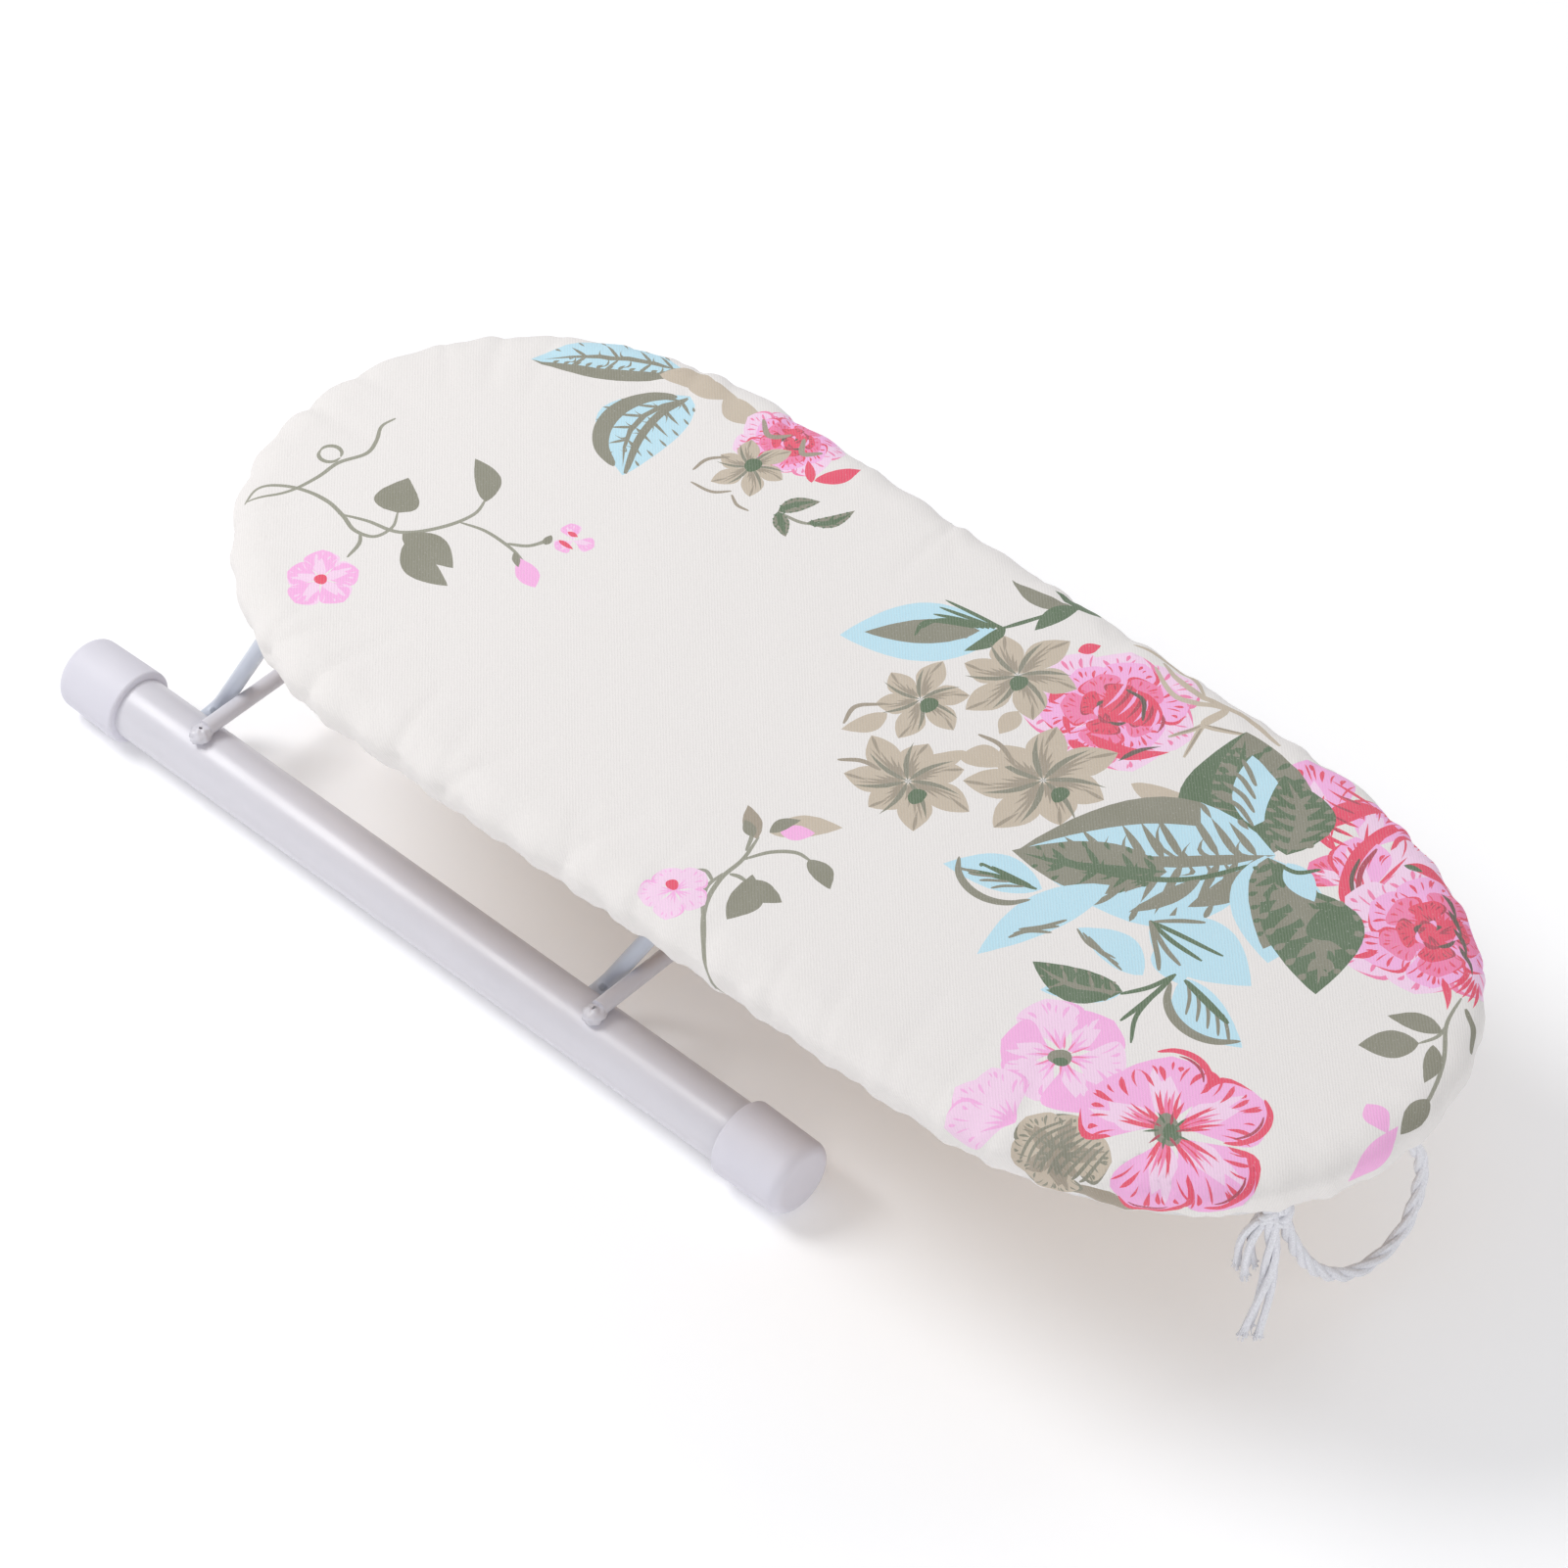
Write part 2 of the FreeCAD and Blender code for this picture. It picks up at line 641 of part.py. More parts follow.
def make_all():
    for side, word in ((1, "left"), (-1, "right")):
        make_foot_tube("foot_tube_" + word, side)
        make_foot_cap("foot_cap_%s_nose" % word, side, 1)
        make_foot_cap("foot_cap_%s_heel" % word, side, -1)
    for end in ("nose", "heel"):
        cross = "cross_%s_x" % end
        make_cross_rod("cross_rod_" + end, cross)
        make_leg("leg_" + end, cross)
        for side, word in ((1, "left"), (-1, "right")):
            make_weld("weld_%s_%s" % (word, end), side, cross)
            make_clip("clip_%s_%s" % (word, end), cross, side)
    make_panel()
    make_foam_pad()
    make_cover()
    make_hem()
    make_screws()
    make_free_cords()
    doc.recompute()


def check_all():
    for item in doc.Objects:
        if "Invalid" in item.State or "Error" in item.State:
            raise RuntimeError("%s failed: %s" % (item.Label, item.State))
    for item in sub_parts:
        if item.Shape.isNull() or not item.Shape.isValid():
            raise RuntimeError(item.Label + " has no valid shape")


def write_all():
    os.makedirs("parts", exist_ok=True)
    for item in sub_parts:
        item.Shape.exportStep(os.path.join("parts", item.Label + ".step"))


make_all()
check_all()
write_all()
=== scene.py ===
import json
import math
import random

import bpy
import numpy as np
from mathutils import Vector, geometry, noise

# A small table-top sleeve ironing board. The metal parts, the panel and the caps
# are the CAD nodes with finished materials. The printed cover, its hem, the foam
# pad, the weld beads and the drawstring are built here.
#
# Lengths are in millimetres and become metres where a mesh is made. The cords'
# routes are in metres. The print is drawn on the flat cloth, whose middle lies on
# the board top: along is towards the nose, across is towards the left foot.
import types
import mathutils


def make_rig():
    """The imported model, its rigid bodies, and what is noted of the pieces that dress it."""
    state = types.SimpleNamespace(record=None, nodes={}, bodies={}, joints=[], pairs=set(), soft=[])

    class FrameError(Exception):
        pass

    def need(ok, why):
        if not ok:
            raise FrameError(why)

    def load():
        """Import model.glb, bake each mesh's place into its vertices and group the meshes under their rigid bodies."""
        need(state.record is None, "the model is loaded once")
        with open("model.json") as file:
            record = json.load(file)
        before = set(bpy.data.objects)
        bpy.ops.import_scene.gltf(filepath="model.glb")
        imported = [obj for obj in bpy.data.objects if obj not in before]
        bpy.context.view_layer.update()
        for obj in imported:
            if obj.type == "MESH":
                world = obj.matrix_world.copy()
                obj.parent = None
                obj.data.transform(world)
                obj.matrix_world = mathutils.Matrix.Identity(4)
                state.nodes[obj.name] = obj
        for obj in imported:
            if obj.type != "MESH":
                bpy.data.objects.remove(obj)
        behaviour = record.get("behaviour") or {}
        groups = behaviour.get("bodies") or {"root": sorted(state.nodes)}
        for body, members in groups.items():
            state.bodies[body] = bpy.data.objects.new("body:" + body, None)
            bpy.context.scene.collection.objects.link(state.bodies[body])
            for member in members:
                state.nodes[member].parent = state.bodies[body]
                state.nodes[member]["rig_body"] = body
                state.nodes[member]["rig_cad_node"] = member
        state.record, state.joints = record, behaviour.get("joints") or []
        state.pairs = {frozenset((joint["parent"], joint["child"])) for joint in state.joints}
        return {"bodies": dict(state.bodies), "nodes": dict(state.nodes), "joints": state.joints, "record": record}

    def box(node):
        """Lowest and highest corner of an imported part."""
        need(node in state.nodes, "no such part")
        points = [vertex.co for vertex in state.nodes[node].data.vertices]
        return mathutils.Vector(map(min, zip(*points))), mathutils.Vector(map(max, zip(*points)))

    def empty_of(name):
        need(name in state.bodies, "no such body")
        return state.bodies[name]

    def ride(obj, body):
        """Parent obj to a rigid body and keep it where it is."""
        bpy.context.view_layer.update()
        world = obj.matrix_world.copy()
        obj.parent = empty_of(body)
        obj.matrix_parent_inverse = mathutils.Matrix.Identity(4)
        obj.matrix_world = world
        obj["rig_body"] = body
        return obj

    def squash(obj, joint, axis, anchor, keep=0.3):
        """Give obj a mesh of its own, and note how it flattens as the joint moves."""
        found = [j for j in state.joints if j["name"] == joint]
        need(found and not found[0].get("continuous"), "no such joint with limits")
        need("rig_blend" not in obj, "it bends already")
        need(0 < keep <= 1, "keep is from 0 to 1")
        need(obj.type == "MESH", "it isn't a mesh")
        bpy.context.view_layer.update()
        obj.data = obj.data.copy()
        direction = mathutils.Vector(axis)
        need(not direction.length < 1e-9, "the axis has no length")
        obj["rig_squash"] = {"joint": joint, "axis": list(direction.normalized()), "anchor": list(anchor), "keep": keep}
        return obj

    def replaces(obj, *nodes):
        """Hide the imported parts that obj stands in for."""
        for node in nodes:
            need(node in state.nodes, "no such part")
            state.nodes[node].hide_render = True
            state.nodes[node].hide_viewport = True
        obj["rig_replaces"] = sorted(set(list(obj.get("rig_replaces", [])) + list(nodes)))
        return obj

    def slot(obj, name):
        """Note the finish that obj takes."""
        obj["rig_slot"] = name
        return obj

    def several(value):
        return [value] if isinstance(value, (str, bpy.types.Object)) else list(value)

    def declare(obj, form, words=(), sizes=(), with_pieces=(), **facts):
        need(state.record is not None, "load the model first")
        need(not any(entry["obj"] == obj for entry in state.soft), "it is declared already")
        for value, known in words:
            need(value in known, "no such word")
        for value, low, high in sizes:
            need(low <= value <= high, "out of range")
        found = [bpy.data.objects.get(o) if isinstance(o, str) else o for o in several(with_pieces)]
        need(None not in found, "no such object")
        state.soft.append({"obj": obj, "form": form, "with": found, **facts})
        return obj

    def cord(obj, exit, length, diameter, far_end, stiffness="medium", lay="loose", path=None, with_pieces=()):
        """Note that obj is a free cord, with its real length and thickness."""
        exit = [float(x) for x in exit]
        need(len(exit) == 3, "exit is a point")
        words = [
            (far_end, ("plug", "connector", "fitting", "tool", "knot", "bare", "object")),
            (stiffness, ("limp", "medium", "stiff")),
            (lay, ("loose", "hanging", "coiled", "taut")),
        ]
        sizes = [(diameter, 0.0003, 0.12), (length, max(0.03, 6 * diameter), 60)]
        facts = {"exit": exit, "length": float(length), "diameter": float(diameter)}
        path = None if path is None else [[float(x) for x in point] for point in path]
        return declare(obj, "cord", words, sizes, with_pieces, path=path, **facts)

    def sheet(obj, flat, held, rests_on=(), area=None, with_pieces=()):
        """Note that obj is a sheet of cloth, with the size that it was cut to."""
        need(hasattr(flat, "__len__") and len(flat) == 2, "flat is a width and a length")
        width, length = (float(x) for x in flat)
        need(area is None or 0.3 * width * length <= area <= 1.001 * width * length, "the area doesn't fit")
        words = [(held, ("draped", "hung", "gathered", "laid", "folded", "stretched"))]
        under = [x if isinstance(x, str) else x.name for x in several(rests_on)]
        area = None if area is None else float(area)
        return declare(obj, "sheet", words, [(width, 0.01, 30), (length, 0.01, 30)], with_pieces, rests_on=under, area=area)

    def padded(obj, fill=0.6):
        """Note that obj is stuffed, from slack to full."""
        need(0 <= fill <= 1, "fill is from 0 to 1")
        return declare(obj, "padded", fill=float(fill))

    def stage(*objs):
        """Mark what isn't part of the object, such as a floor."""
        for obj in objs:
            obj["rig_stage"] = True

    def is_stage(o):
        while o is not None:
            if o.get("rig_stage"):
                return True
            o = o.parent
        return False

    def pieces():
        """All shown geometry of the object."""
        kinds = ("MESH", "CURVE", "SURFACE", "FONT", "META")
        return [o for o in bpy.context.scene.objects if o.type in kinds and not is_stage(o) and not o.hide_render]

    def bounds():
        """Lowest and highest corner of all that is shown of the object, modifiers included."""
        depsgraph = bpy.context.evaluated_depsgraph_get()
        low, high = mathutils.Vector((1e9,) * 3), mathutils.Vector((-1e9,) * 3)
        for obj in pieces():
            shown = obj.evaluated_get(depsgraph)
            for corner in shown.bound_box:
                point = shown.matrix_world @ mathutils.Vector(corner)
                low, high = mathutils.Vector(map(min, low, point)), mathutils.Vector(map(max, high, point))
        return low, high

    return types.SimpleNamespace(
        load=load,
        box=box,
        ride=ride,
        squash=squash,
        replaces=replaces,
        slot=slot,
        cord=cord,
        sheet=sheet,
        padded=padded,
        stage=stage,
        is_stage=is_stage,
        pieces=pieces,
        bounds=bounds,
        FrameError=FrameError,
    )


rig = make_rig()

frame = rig.load()
cad_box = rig.bounds()
SEED = 7
MM = 0.001

# ---------------------------------------------------------------- driving sizes

BOARD_HALF_WIDTH = 84.75
SIDE_TAPER = math.radians(0.95)
NOSE_TIP = 216.0
HEEL_TIP = -187.0
NOSE_RADIUS = 75.0
NOSE_CORNER = 130.0
HEEL_RADIUS = 81.0
HEEL_CORNER = 110.0
COVER_TOP = 92.9
COVER_BOTTOM = 78.0
SIDE_HEIGHT = 86.8      # where the cover's side stands out furthest
TOP_ROUND = 10.0        # how far in the cover's soft top edge starts
UNDER_ROUND = 4.4
HEM_INSET = 8.0
HEM_HEIGHT = 75.6
HEM_RADIUS = 2.2
CORD_RADIUS = 1.75
ROPE_RADIUS = 2.0       # the rope's soft outside
ROPE_LAY = 27.0         # length of one turn of its strands
TAIL_OPENING = 2.3      # how far a tail's strands have opened at its cut end
THREAD = 0.56           # one thread of the cover's weave
GATHER = 7.6            # spacing of the hem's gathers
RING_STEPS = 620        # points round the board
EDGE_ROWS = 25          # rows of cloth points from the soft edge to the hem
CLOTH_SPACING = 2.1     # between cloth points on the flat top
CLOTH_GAP = 0.9         # from those points to the first edge row
PRINT_SHIFT = (1.9, -2.0)
WELD_SHIFT = (1.8, 0.9) # a bead's middle from the CAD weld's: towards its foot, and up
WELD_HALF = (3.2, 3.6, 2.6)
FLOOR_HALF = 4000.0

# ---------------------------------------------------------------- the cords

LOOP_ROUTE = [
    (0.2075, -0.0060, 0.0750),
    (0.2065, 0.0060, 0.0705),
    (0.2060, 0.0150, 0.0585),
    (0.2050, 0.0195, 0.0420),
    (0.2035, 0.0160, 0.0210),
    (0.2020, -0.0010, 0.0185),
    (0.2000, -0.0165, 0.0310),
    (0.1980, -0.0265, 0.0500),
    (0.1970, -0.0320, 0.0690),
]
LONG_TAIL_ROUTE = [
    (0.1970, -0.0345, 0.0685),
    (0.1980, -0.0350, 0.0570),
    (0.1978, -0.0345, 0.0465),
    (0.1976, -0.0370, 0.0360),
    (0.1970, -0.0395, 0.0270),
]
SHORT_TAIL_ROUTE = [
    (0.1985, -0.0275, 0.0740),
    (0.1940, -0.0365, 0.0665),
    (0.1920, -0.0390, 0.0565),
    (0.1915, -0.0370, 0.0460),
]
KNOT_CENTRE = np.array((196.4, -33.5, 69.2))
KNOT_RADII = np.array((5.2, 4.8, 4.2))
KNOT_LAY = 12.0
KNOT_INSET = 1.6        # from the knot's surface in to the middle of its cord
HEM_ROPE_RADIUS = 1.6   # the rope inside the hem, which nobody sees


# ---------------------------------------------------------------- small tools

def colour(red, green, blue):
    """A linear colour from its everyday 0 to 255 values."""
    values = [part / 255 for part in (red, green, blue)]
    return tuple(v / 12.92 if v <= 0.04045 else ((v + 0.055) / 1.055) ** 2.4 for v in values) + (1.0,)


def unit(vectors):
    return vectors / np.linalg.norm(vectors, axis=-1, keepdims=True)


def leftward(directions):
    """Flat directions turned a quarter turn to the left."""
    return np.stack([-directions[:, 1], directions[:, 0]], 1)


def distances(line):
    """The distance walked along a line at each of its points."""
    return np.concatenate([[0], np.cumsum(np.linalg.norm(np.diff(line, axis=0), axis=1))])


def shaded(tint, share):
    """A colour made darker, or lighter up to white."""
    return tuple(min(part * share, 1.0) for part in tint[:3]) + (1.0,)


def wobble(x, y, size, seed=0.0):
    """Smooth noise from -1 to 1 over a plane; size is the width of its lumps."""
    return noise.noise(Vector((x / size, y / size, seed * 7.31 + 0.5)))


def ring_wobble(turn, size, seed):
    """Smooth noise round the board that meets itself after a full turn."""
    return wobble(60 * math.cos(turn), 60 * math.sin(turn), size, seed)


def link(item):
    bpy.context.scene.collection.objects.link(item)


def new_object(name, points, faces, smooth=True):
    mesh = bpy.data.meshes.new(name)
    mesh.from_pydata([tuple(point) for point in np.asarray(points, float) * MM], [], faces)
    mesh.update()
    if smooth:
        mesh.polygons.foreach_set("use_smooth", [True] * len(mesh.polygons))
    item = bpy.data.objects.new(name, mesh)
    link(item)
    return item


def grid_faces(rows, columns, wrap_rows=False, wrap_columns=True, start=0):
    """Four-sided faces over a grid of points that is numbered row by row."""
    faces = []
    for row in range(rows if wrap_rows else rows - 1):
        for column in range(columns if wrap_columns else columns - 1):
            near, far = row * columns, (row + 1) % rows * columns
            right = (column + 1) % columns
            faces.append(tuple(start + n for n in (near + column, near + right, far + right, far + column)))
    return faces


def end_faces(rows, columns, start=0):
    """The faces that close the first and the last row of a tube's grid."""
    last = start + (rows - 1) * columns
    return [list(range(start, start + columns))[::-1], list(range(last, last + columns))]


def finish_piece(item, material, body, slot_name, *stands_for):
    item.data.materials.append(material)
    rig.ride(item, body)
    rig.slot(item, slot_name)
    if stands_for:
        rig.replaces(item, *stands_for)
    return item


# ---------------------------------------------------------------- board outline

def end_arcs(tip, end_radius, corner_radius, sign):
    """Centres of an end's two arcs, and the angle where they meet, as in the CAD outline."""
    end_x = tip - sign * end_radius
    reach = abs(end_radius - corner_radius)
    offset = BOARD_HALF_WIDTH * math.cos(SIDE_TAPER) - corner_radius
    lower = offset - end_x * math.sin(SIDE_TAPER)
    outside = sign if end_radius > corner_radius else -sign
    swing = math.sqrt(reach**2 - lower**2) * outside
    corner_x = end_x + swing * math.cos(SIDE_TAPER) + lower * math.sin(SIDE_TAPER)
    corner_y = lower * math.cos(SIDE_TAPER) - swing * math.sin(SIDE_TAPER)
    facing = 1 if end_radius > corner_radius else -1
    meeting = math.atan2(corner_y * facing, (corner_x - end_x) * facing)
    return (end_x, 0.0), (corner_x, corner_y), meeting


def board_ring(count):
    """Points round the board's outline, anticlockwise, and the outward direction at each."""
    side = math.pi / 2 - SIDE_TAPER
    nose, nose_corner, nose_meeting = end_arcs(NOSE_TIP, NOSE_RADIUS, NOSE_CORNER, 1)
    heel, heel_corner, heel_meeting = end_arcs(HEEL_TIP, HEEL_RADIUS, HEEL_CORNER, -1)
    half = []
    for centre, radius, first, last in (
        (nose, NOSE_RADIUS, 0.0, nose_meeting),
        (nose_corner, NOSE_CORNER, nose_meeting, side),
        (heel_corner, HEEL_CORNER, side, heel_meeting),
        (heel, HEEL_RADIUS, heel_meeting, math.pi),
    ):
        for angle in np.linspace(first, last, 400):
            out = (math.cos(angle), math.sin(angle))
            half.append((centre[0] + radius * out[0], centre[1] + radius * out[1], *out))
    half = np.array(half)
    lower = half[::-1] * (1, -1, 1, -1)
    whole = np.vstack([half, lower[1:-1], half[:1]])
    walked = distances(whole[:, :2])
    even = np.linspace(0, walked[-1], count, endpoint=False)
    columns = [np.interp(even, walked, whole[:, k]) for k in range(4)]
    return np.stack(columns[:2], 1), unit(np.stack(columns[2:], 1)), walked[-1]


RING, RING_OUT, RING_LENGTH = board_ring(RING_STEPS)
FINE_RING, FINE_OUT, _ = board_ring(4 * RING_STEPS)


def cover_profile():
    """The cover's cross section from the soft top edge down, round and under to the hem:
    distance along the cloth, distance out from where the top edge starts, and height."""
    turn = np.linspace(0, math.pi / 2, 40)
    over = np.stack([TOP_ROUND * np.sin(turn), SIDE_HEIGHT + (COVER_TOP - SIDE_HEIGHT) * np.cos(turn)], 1)
    under = np.stack([
        TOP_ROUND - UNDER_ROUND * (1 - np.cos(turn)),
        SIDE_HEIGHT - (SIDE_HEIGHT - COVER_BOTTOM) * np.sin(turn),
    ], 1)
    flange = np.array([(5.0, 77.95), (4.1, 77.6), (3.0, 76.9)])
    line = np.vstack([over, under[1:], flange])
    return distances(line), line[:, 0], line[:, 1]


ALONG_CLOTH, PROFILE_OUT, PROFILE_HEIGHT = cover_profile()
CLOTH_REACH = ALONG_CLOTH[-1]


def nearest_on_ring(places):
    """For flat cloth places: the ring number, the sideways rest and the distance outside
    the line where the soft edge starts."""
    line = FINE_RING - FINE_OUT * TOP_ROUND
    number = np.empty(len(places), int)
    for first in range(0, len(places), 4000):
        some = places[first:first + 4000]
        apart = ((some[:, None, :] - line[None, :, :]) ** 2).sum(2)
        number[first:first + 4000] = apart.argmin(1)
    away = places - line[number]
    out = FINE_OUT[number]
    return number, (away * leftward(out)).sum(1), (away * out).sum(1)


# ---------------------------------------------------------------- the print

CREAM = colour(238, 234, 231)
SAGE = colour(144, 144, 126)
OLIVE = colour(128, 127, 107)
GREEN = colour(64, 98, 56)
BLUE = colour(188, 229, 244)
PINK = colour(251, 176, 230)
PALE_PINK = colour(250, 212, 240)
ROSE = colour(247, 118, 172)
RED = colour(236, 38, 90)
WINE = colour(176, 20, 66)
BEIGE = colour(198, 183, 162)
TAUPE = colour(156, 143, 123)
BARK = colour(84, 66, 52)

shapes = []


def fill(points, ink, rough=0.14):
    """One printed patch. A later patch covers an earlier one."""
    points = [
        (x + rough * wobble(x, y, 1.9, 1), y + rough * wobble(x, y, 1.9, 2))
        for x, y in points
    ]
    shapes.append((points, ink))


def smooth_line(points, steps=7):
    """A Catmull-Rom line through the points."""
    points = [np.array(point, float) for point in points]
    padded = [2 * points[0] - points[1], *points, 2 * points[-1] - points[-2]]
    line = []
    for a, b, c, d in zip(padded, padded[1:], padded[2:], padded[3:]):
        for k in range(steps):
            t = k / steps
            line.append(0.5 * (2 * b + (c - a) * t + (2 * a - 5 * b + 4 * c - d) * t**2
                               + (3 * b - a - 3 * c + d) * t**3))
    line.append(points[-1])
    return np.array(line)


def stroke(points, width, ink, ends=(0.35, 0.35)):
    """A brush stroke along a line; ends are its widths there as shares of the middle's."""
    line = smooth_line(points)
    share = np.linspace(0, 1, len(line))
    body = np.sin(np.pi * share) ** 0.5
    taper = body + (1 - body) * np.interp(share, (0, 1), ends)
    along = unit(np.gradient(line, axis=0))
    side = leftward(along) * (width / 2 * taper)[:, None]
    left, right = line + side, line - side
    for k in range(len(line) - 1):
        for corners in ((left[k], right[k], right[k + 1]), (left[k], right[k + 1], left[k + 1])):
            shapes.append(([tuple(corner) for corner in corners], ink))


def leaf_edges(base, tip, width, lean, fat, rows=15):
    """The two edges and the midrib of a pointed leaf. lean bends it, fat moves its
    widest place towards the tip."""
    base, tip = np.array(base, float), np.array(tip, float)
    axis = tip - base
    side = unit(np.array((-axis[1], axis[0])))
    share = np.linspace(0, 1, rows)
    rib = base + axis * share[:, None] + side * (lean * np.sin(np.pi * share))[:, None]
    half = side * (width / 2 * np.sin(np.pi * share**fat) ** 0.9)[:, None]
    return rib + half, rib - half, rib


def between_edges(one, other, ink, rough=0.14):
    fill([tuple(p) for p in one] + [tuple(p) for p in other[-2:0:-1]], ink, rough)


def leaf(base, tip, width, ink, lean=0.0, fat=0.85):
    left, right, _ = leaf_edges(base, tip, width, lean, fat)
    between_edges(left, right, ink)


def leaves(*rows):
    """Plain leaves in order, each as base x and y, tip x and y, width, ink, and then its
    lean and fat where they matter."""
    for base_x, base_y, tip_x, tip_y, width, ink, *bend in rows:
        leaf((base_x, base_y), (tip_x, tip_y), width, ink, *bend)


def dash(base, tip, width, ink, lean=0.0):
    """One short touch of the brush."""
    left, right, _ = leaf_edges(base, tip, width, lean, 0.7, rows=6)
    between_edges(left, right, ink, 0.05)


def veined_leaf(base, tip, width, ink, vein, lean=0.0, fat=0.85, veins=5, rim=None, weight=0.9):
    """A leaf with a midrib, brushed side veins and, where rim is given, one edge in a
    second ink that is feathered towards the midrib."""
    left, right, rib = leaf_edges(base, tip, width, lean, fat)
    between_edges(left, right, ink)
    if rim:
        inner = left + (rib - left) * 0.5
        between_edges(left, inner, rim)
        for row in range(1, 13):
            reach = 0.35 + 0.3 * wobble(row * 2.7, base[0], 1.7, 12)
            dash(inner[row], inner[row] + (rib[row] - inner[row]) * reach + (rib[row] - rib[row + 1]) * 0.6,
                 width * 0.06, rim)
    for k in range(2 * veins):
        row = 1 + k * 11 // (2 * veins)
        for edge in (left, right):
            reach = 0.72 + 0.25 * wobble(k * 3.3, edge[7][0], 1.9, 13) - 0.3 * (k % 2)
            end = rib[row] + (edge[min(row + 2, 14)] - rib[row]) * reach
            dash(rib[row], end, weight * (1.25 if k % 2 == 0 else 0.8), vein, lean=0.08 * width * (k % 2))
    dash(rib[0], rib[13], weight * 2.2, vein, lean=lean)
    for row in range(2, 14, 2):
        for edge in (left, right):
            dash(edge[row], edge[row] + (rib[row - 2] - edge[row]) * 0.3, weight * 0.9, vein)


def brushed_petal(base, tip, width, ink, edge_ink, pale, lean=0.0, touches=9):
    """A round petal with a paler middle and an edge brushed inwards in a deeper ink."""
    left, right, rib = leaf_edges(base, tip, width, lean, 1.7)
    between_edges(left, right, ink)
    dash(rib[2], rib[10], width * 0.34, pale, lean=lean + width * 0.06)
    dash(rib[4], rib[12] + (left[12] - rib[12]) * 0.5, width * 0.15, pale, lean=width * 0.05)
    rim = left if (base[0] + tip[1]) % 2 < 1 else right
    between_edges(rim[6:14], rim[6:14] + (rib[6:14] - rim[6:14]) * 0.16, edge_ink, 0.06)
    for k in range(touches):
        side = 2 * k / (touches - 1) - 1
        edge = left if side > 0 else right
        row = 13 - int(4 * abs(side) + 1.2 * wobble(k, tip[0], 0.9, 15))
        reach = 0.42 + 0.42 * wobble(k * 2.9, tip[0] + tip[1], 1.8, 14)
        outer = edge[row] + (rib[row] - edge[row]) * (0.9 - 0.9 * abs(side))
        dash(outer, outer + (rib[row - 6] - outer) * reach, width * (0.03 + 0.03 * (k % 2)), edge_ink,
             lean=0.03 * width * side)
    for k in (-1, 0, 1):
        out = rib[6] + (rib[7] - rib[1]) * 0.15 * k + (left[6] - rib[6]) * 0.42 * k
        dash(rib[0], out, width * 0.06, edge_ink)


def around(centre, radius, degrees):
    angle = math.radians(degrees)
    return (centre[0] + radius * math.cos(angle), centre[1] + radius * math.sin(angle))


def blob(centre, long_half, short_half, turn, ink, lumps=0.06):
    points = []
    for k in range(22):
        angle = k * math.tau / 22
        swell = 1 + lumps * math.sin(3 * angle + turn) + lumps * wobble(k, centre[0], 2.3, 3)
        x, y = long_half * swell * math.cos(angle), short_half * swell * math.sin(angle)
        c, s = math.cos(math.radians(turn)), math.sin(math.radians(turn))
        points.append((centre[0] + x * c - y * s, centre[1] + x * s + y * c))
    fill(points, ink)


def open_flower(centre, radius, turn, ink, second, count=5, heart=RED, heart_size=1.8):
    """A small flower of round petals, each with a paler middle."""
    for k in range(count):
        degrees = turn + k * 360 / count
        reach = radius * (1 + 0.1 * math.sin(2.3 * k))
        tip = around(centre, reach, degrees)
        brushed_petal(centre, tip, radius * 0.92, ink, second, PALE_PINK, touches=5)
    if heart:
        blob(centre, heart_size, heart_size * 1.15, turn, heart)


def star_flower(centre, radius, turn, heart_at, count=6):
    """A beige flower of pointed petals with thin filaments and a green heart."""
    for k in range(count):
        degrees = turn + k * 360 / count
        reach = radius * (1 + 0.16 * math.sin(1.9 * k + turn))
        start, end = around(centre, 0.8, degrees), around(centre, reach, degrees)
        leaf(start, end, radius * 0.56, BEIGE, lean=radius * 0.06, fat=1.15)
        for slip in (-11, -4, 4, 10):
            inner = around(centre, 1.5, degrees + slip)
            outer = around(centre, reach * (0.62 + 0.02 * slip), degrees + slip)
            dash(inner, outer, radius * 0.055, TAUPE, lean=0.03 * radius)
        dash(end, around(centre, reach * 0.6, degrees + 9), radius * 0.06, TAUPE)
    for k in range(count):
        degrees = turn + (k + 0.35) * 360 / count
        dash(centre, around(centre, radius * 0.86, degrees - 3), radius * 0.09, OLIVE, lean=radius * 0.07)
    blob(heart_at, 2.3, 3.0, 12, GREEN)


def crescent(centre, radius, first, last, thick, ink):
    """A curled petal edge: a stroke along part of a circle."""
    turns = np.linspace(first, last, 6)
    stroke([around(centre, radius, turn) for turn in turns], thick, ink, ends=(0.12, 0.12))


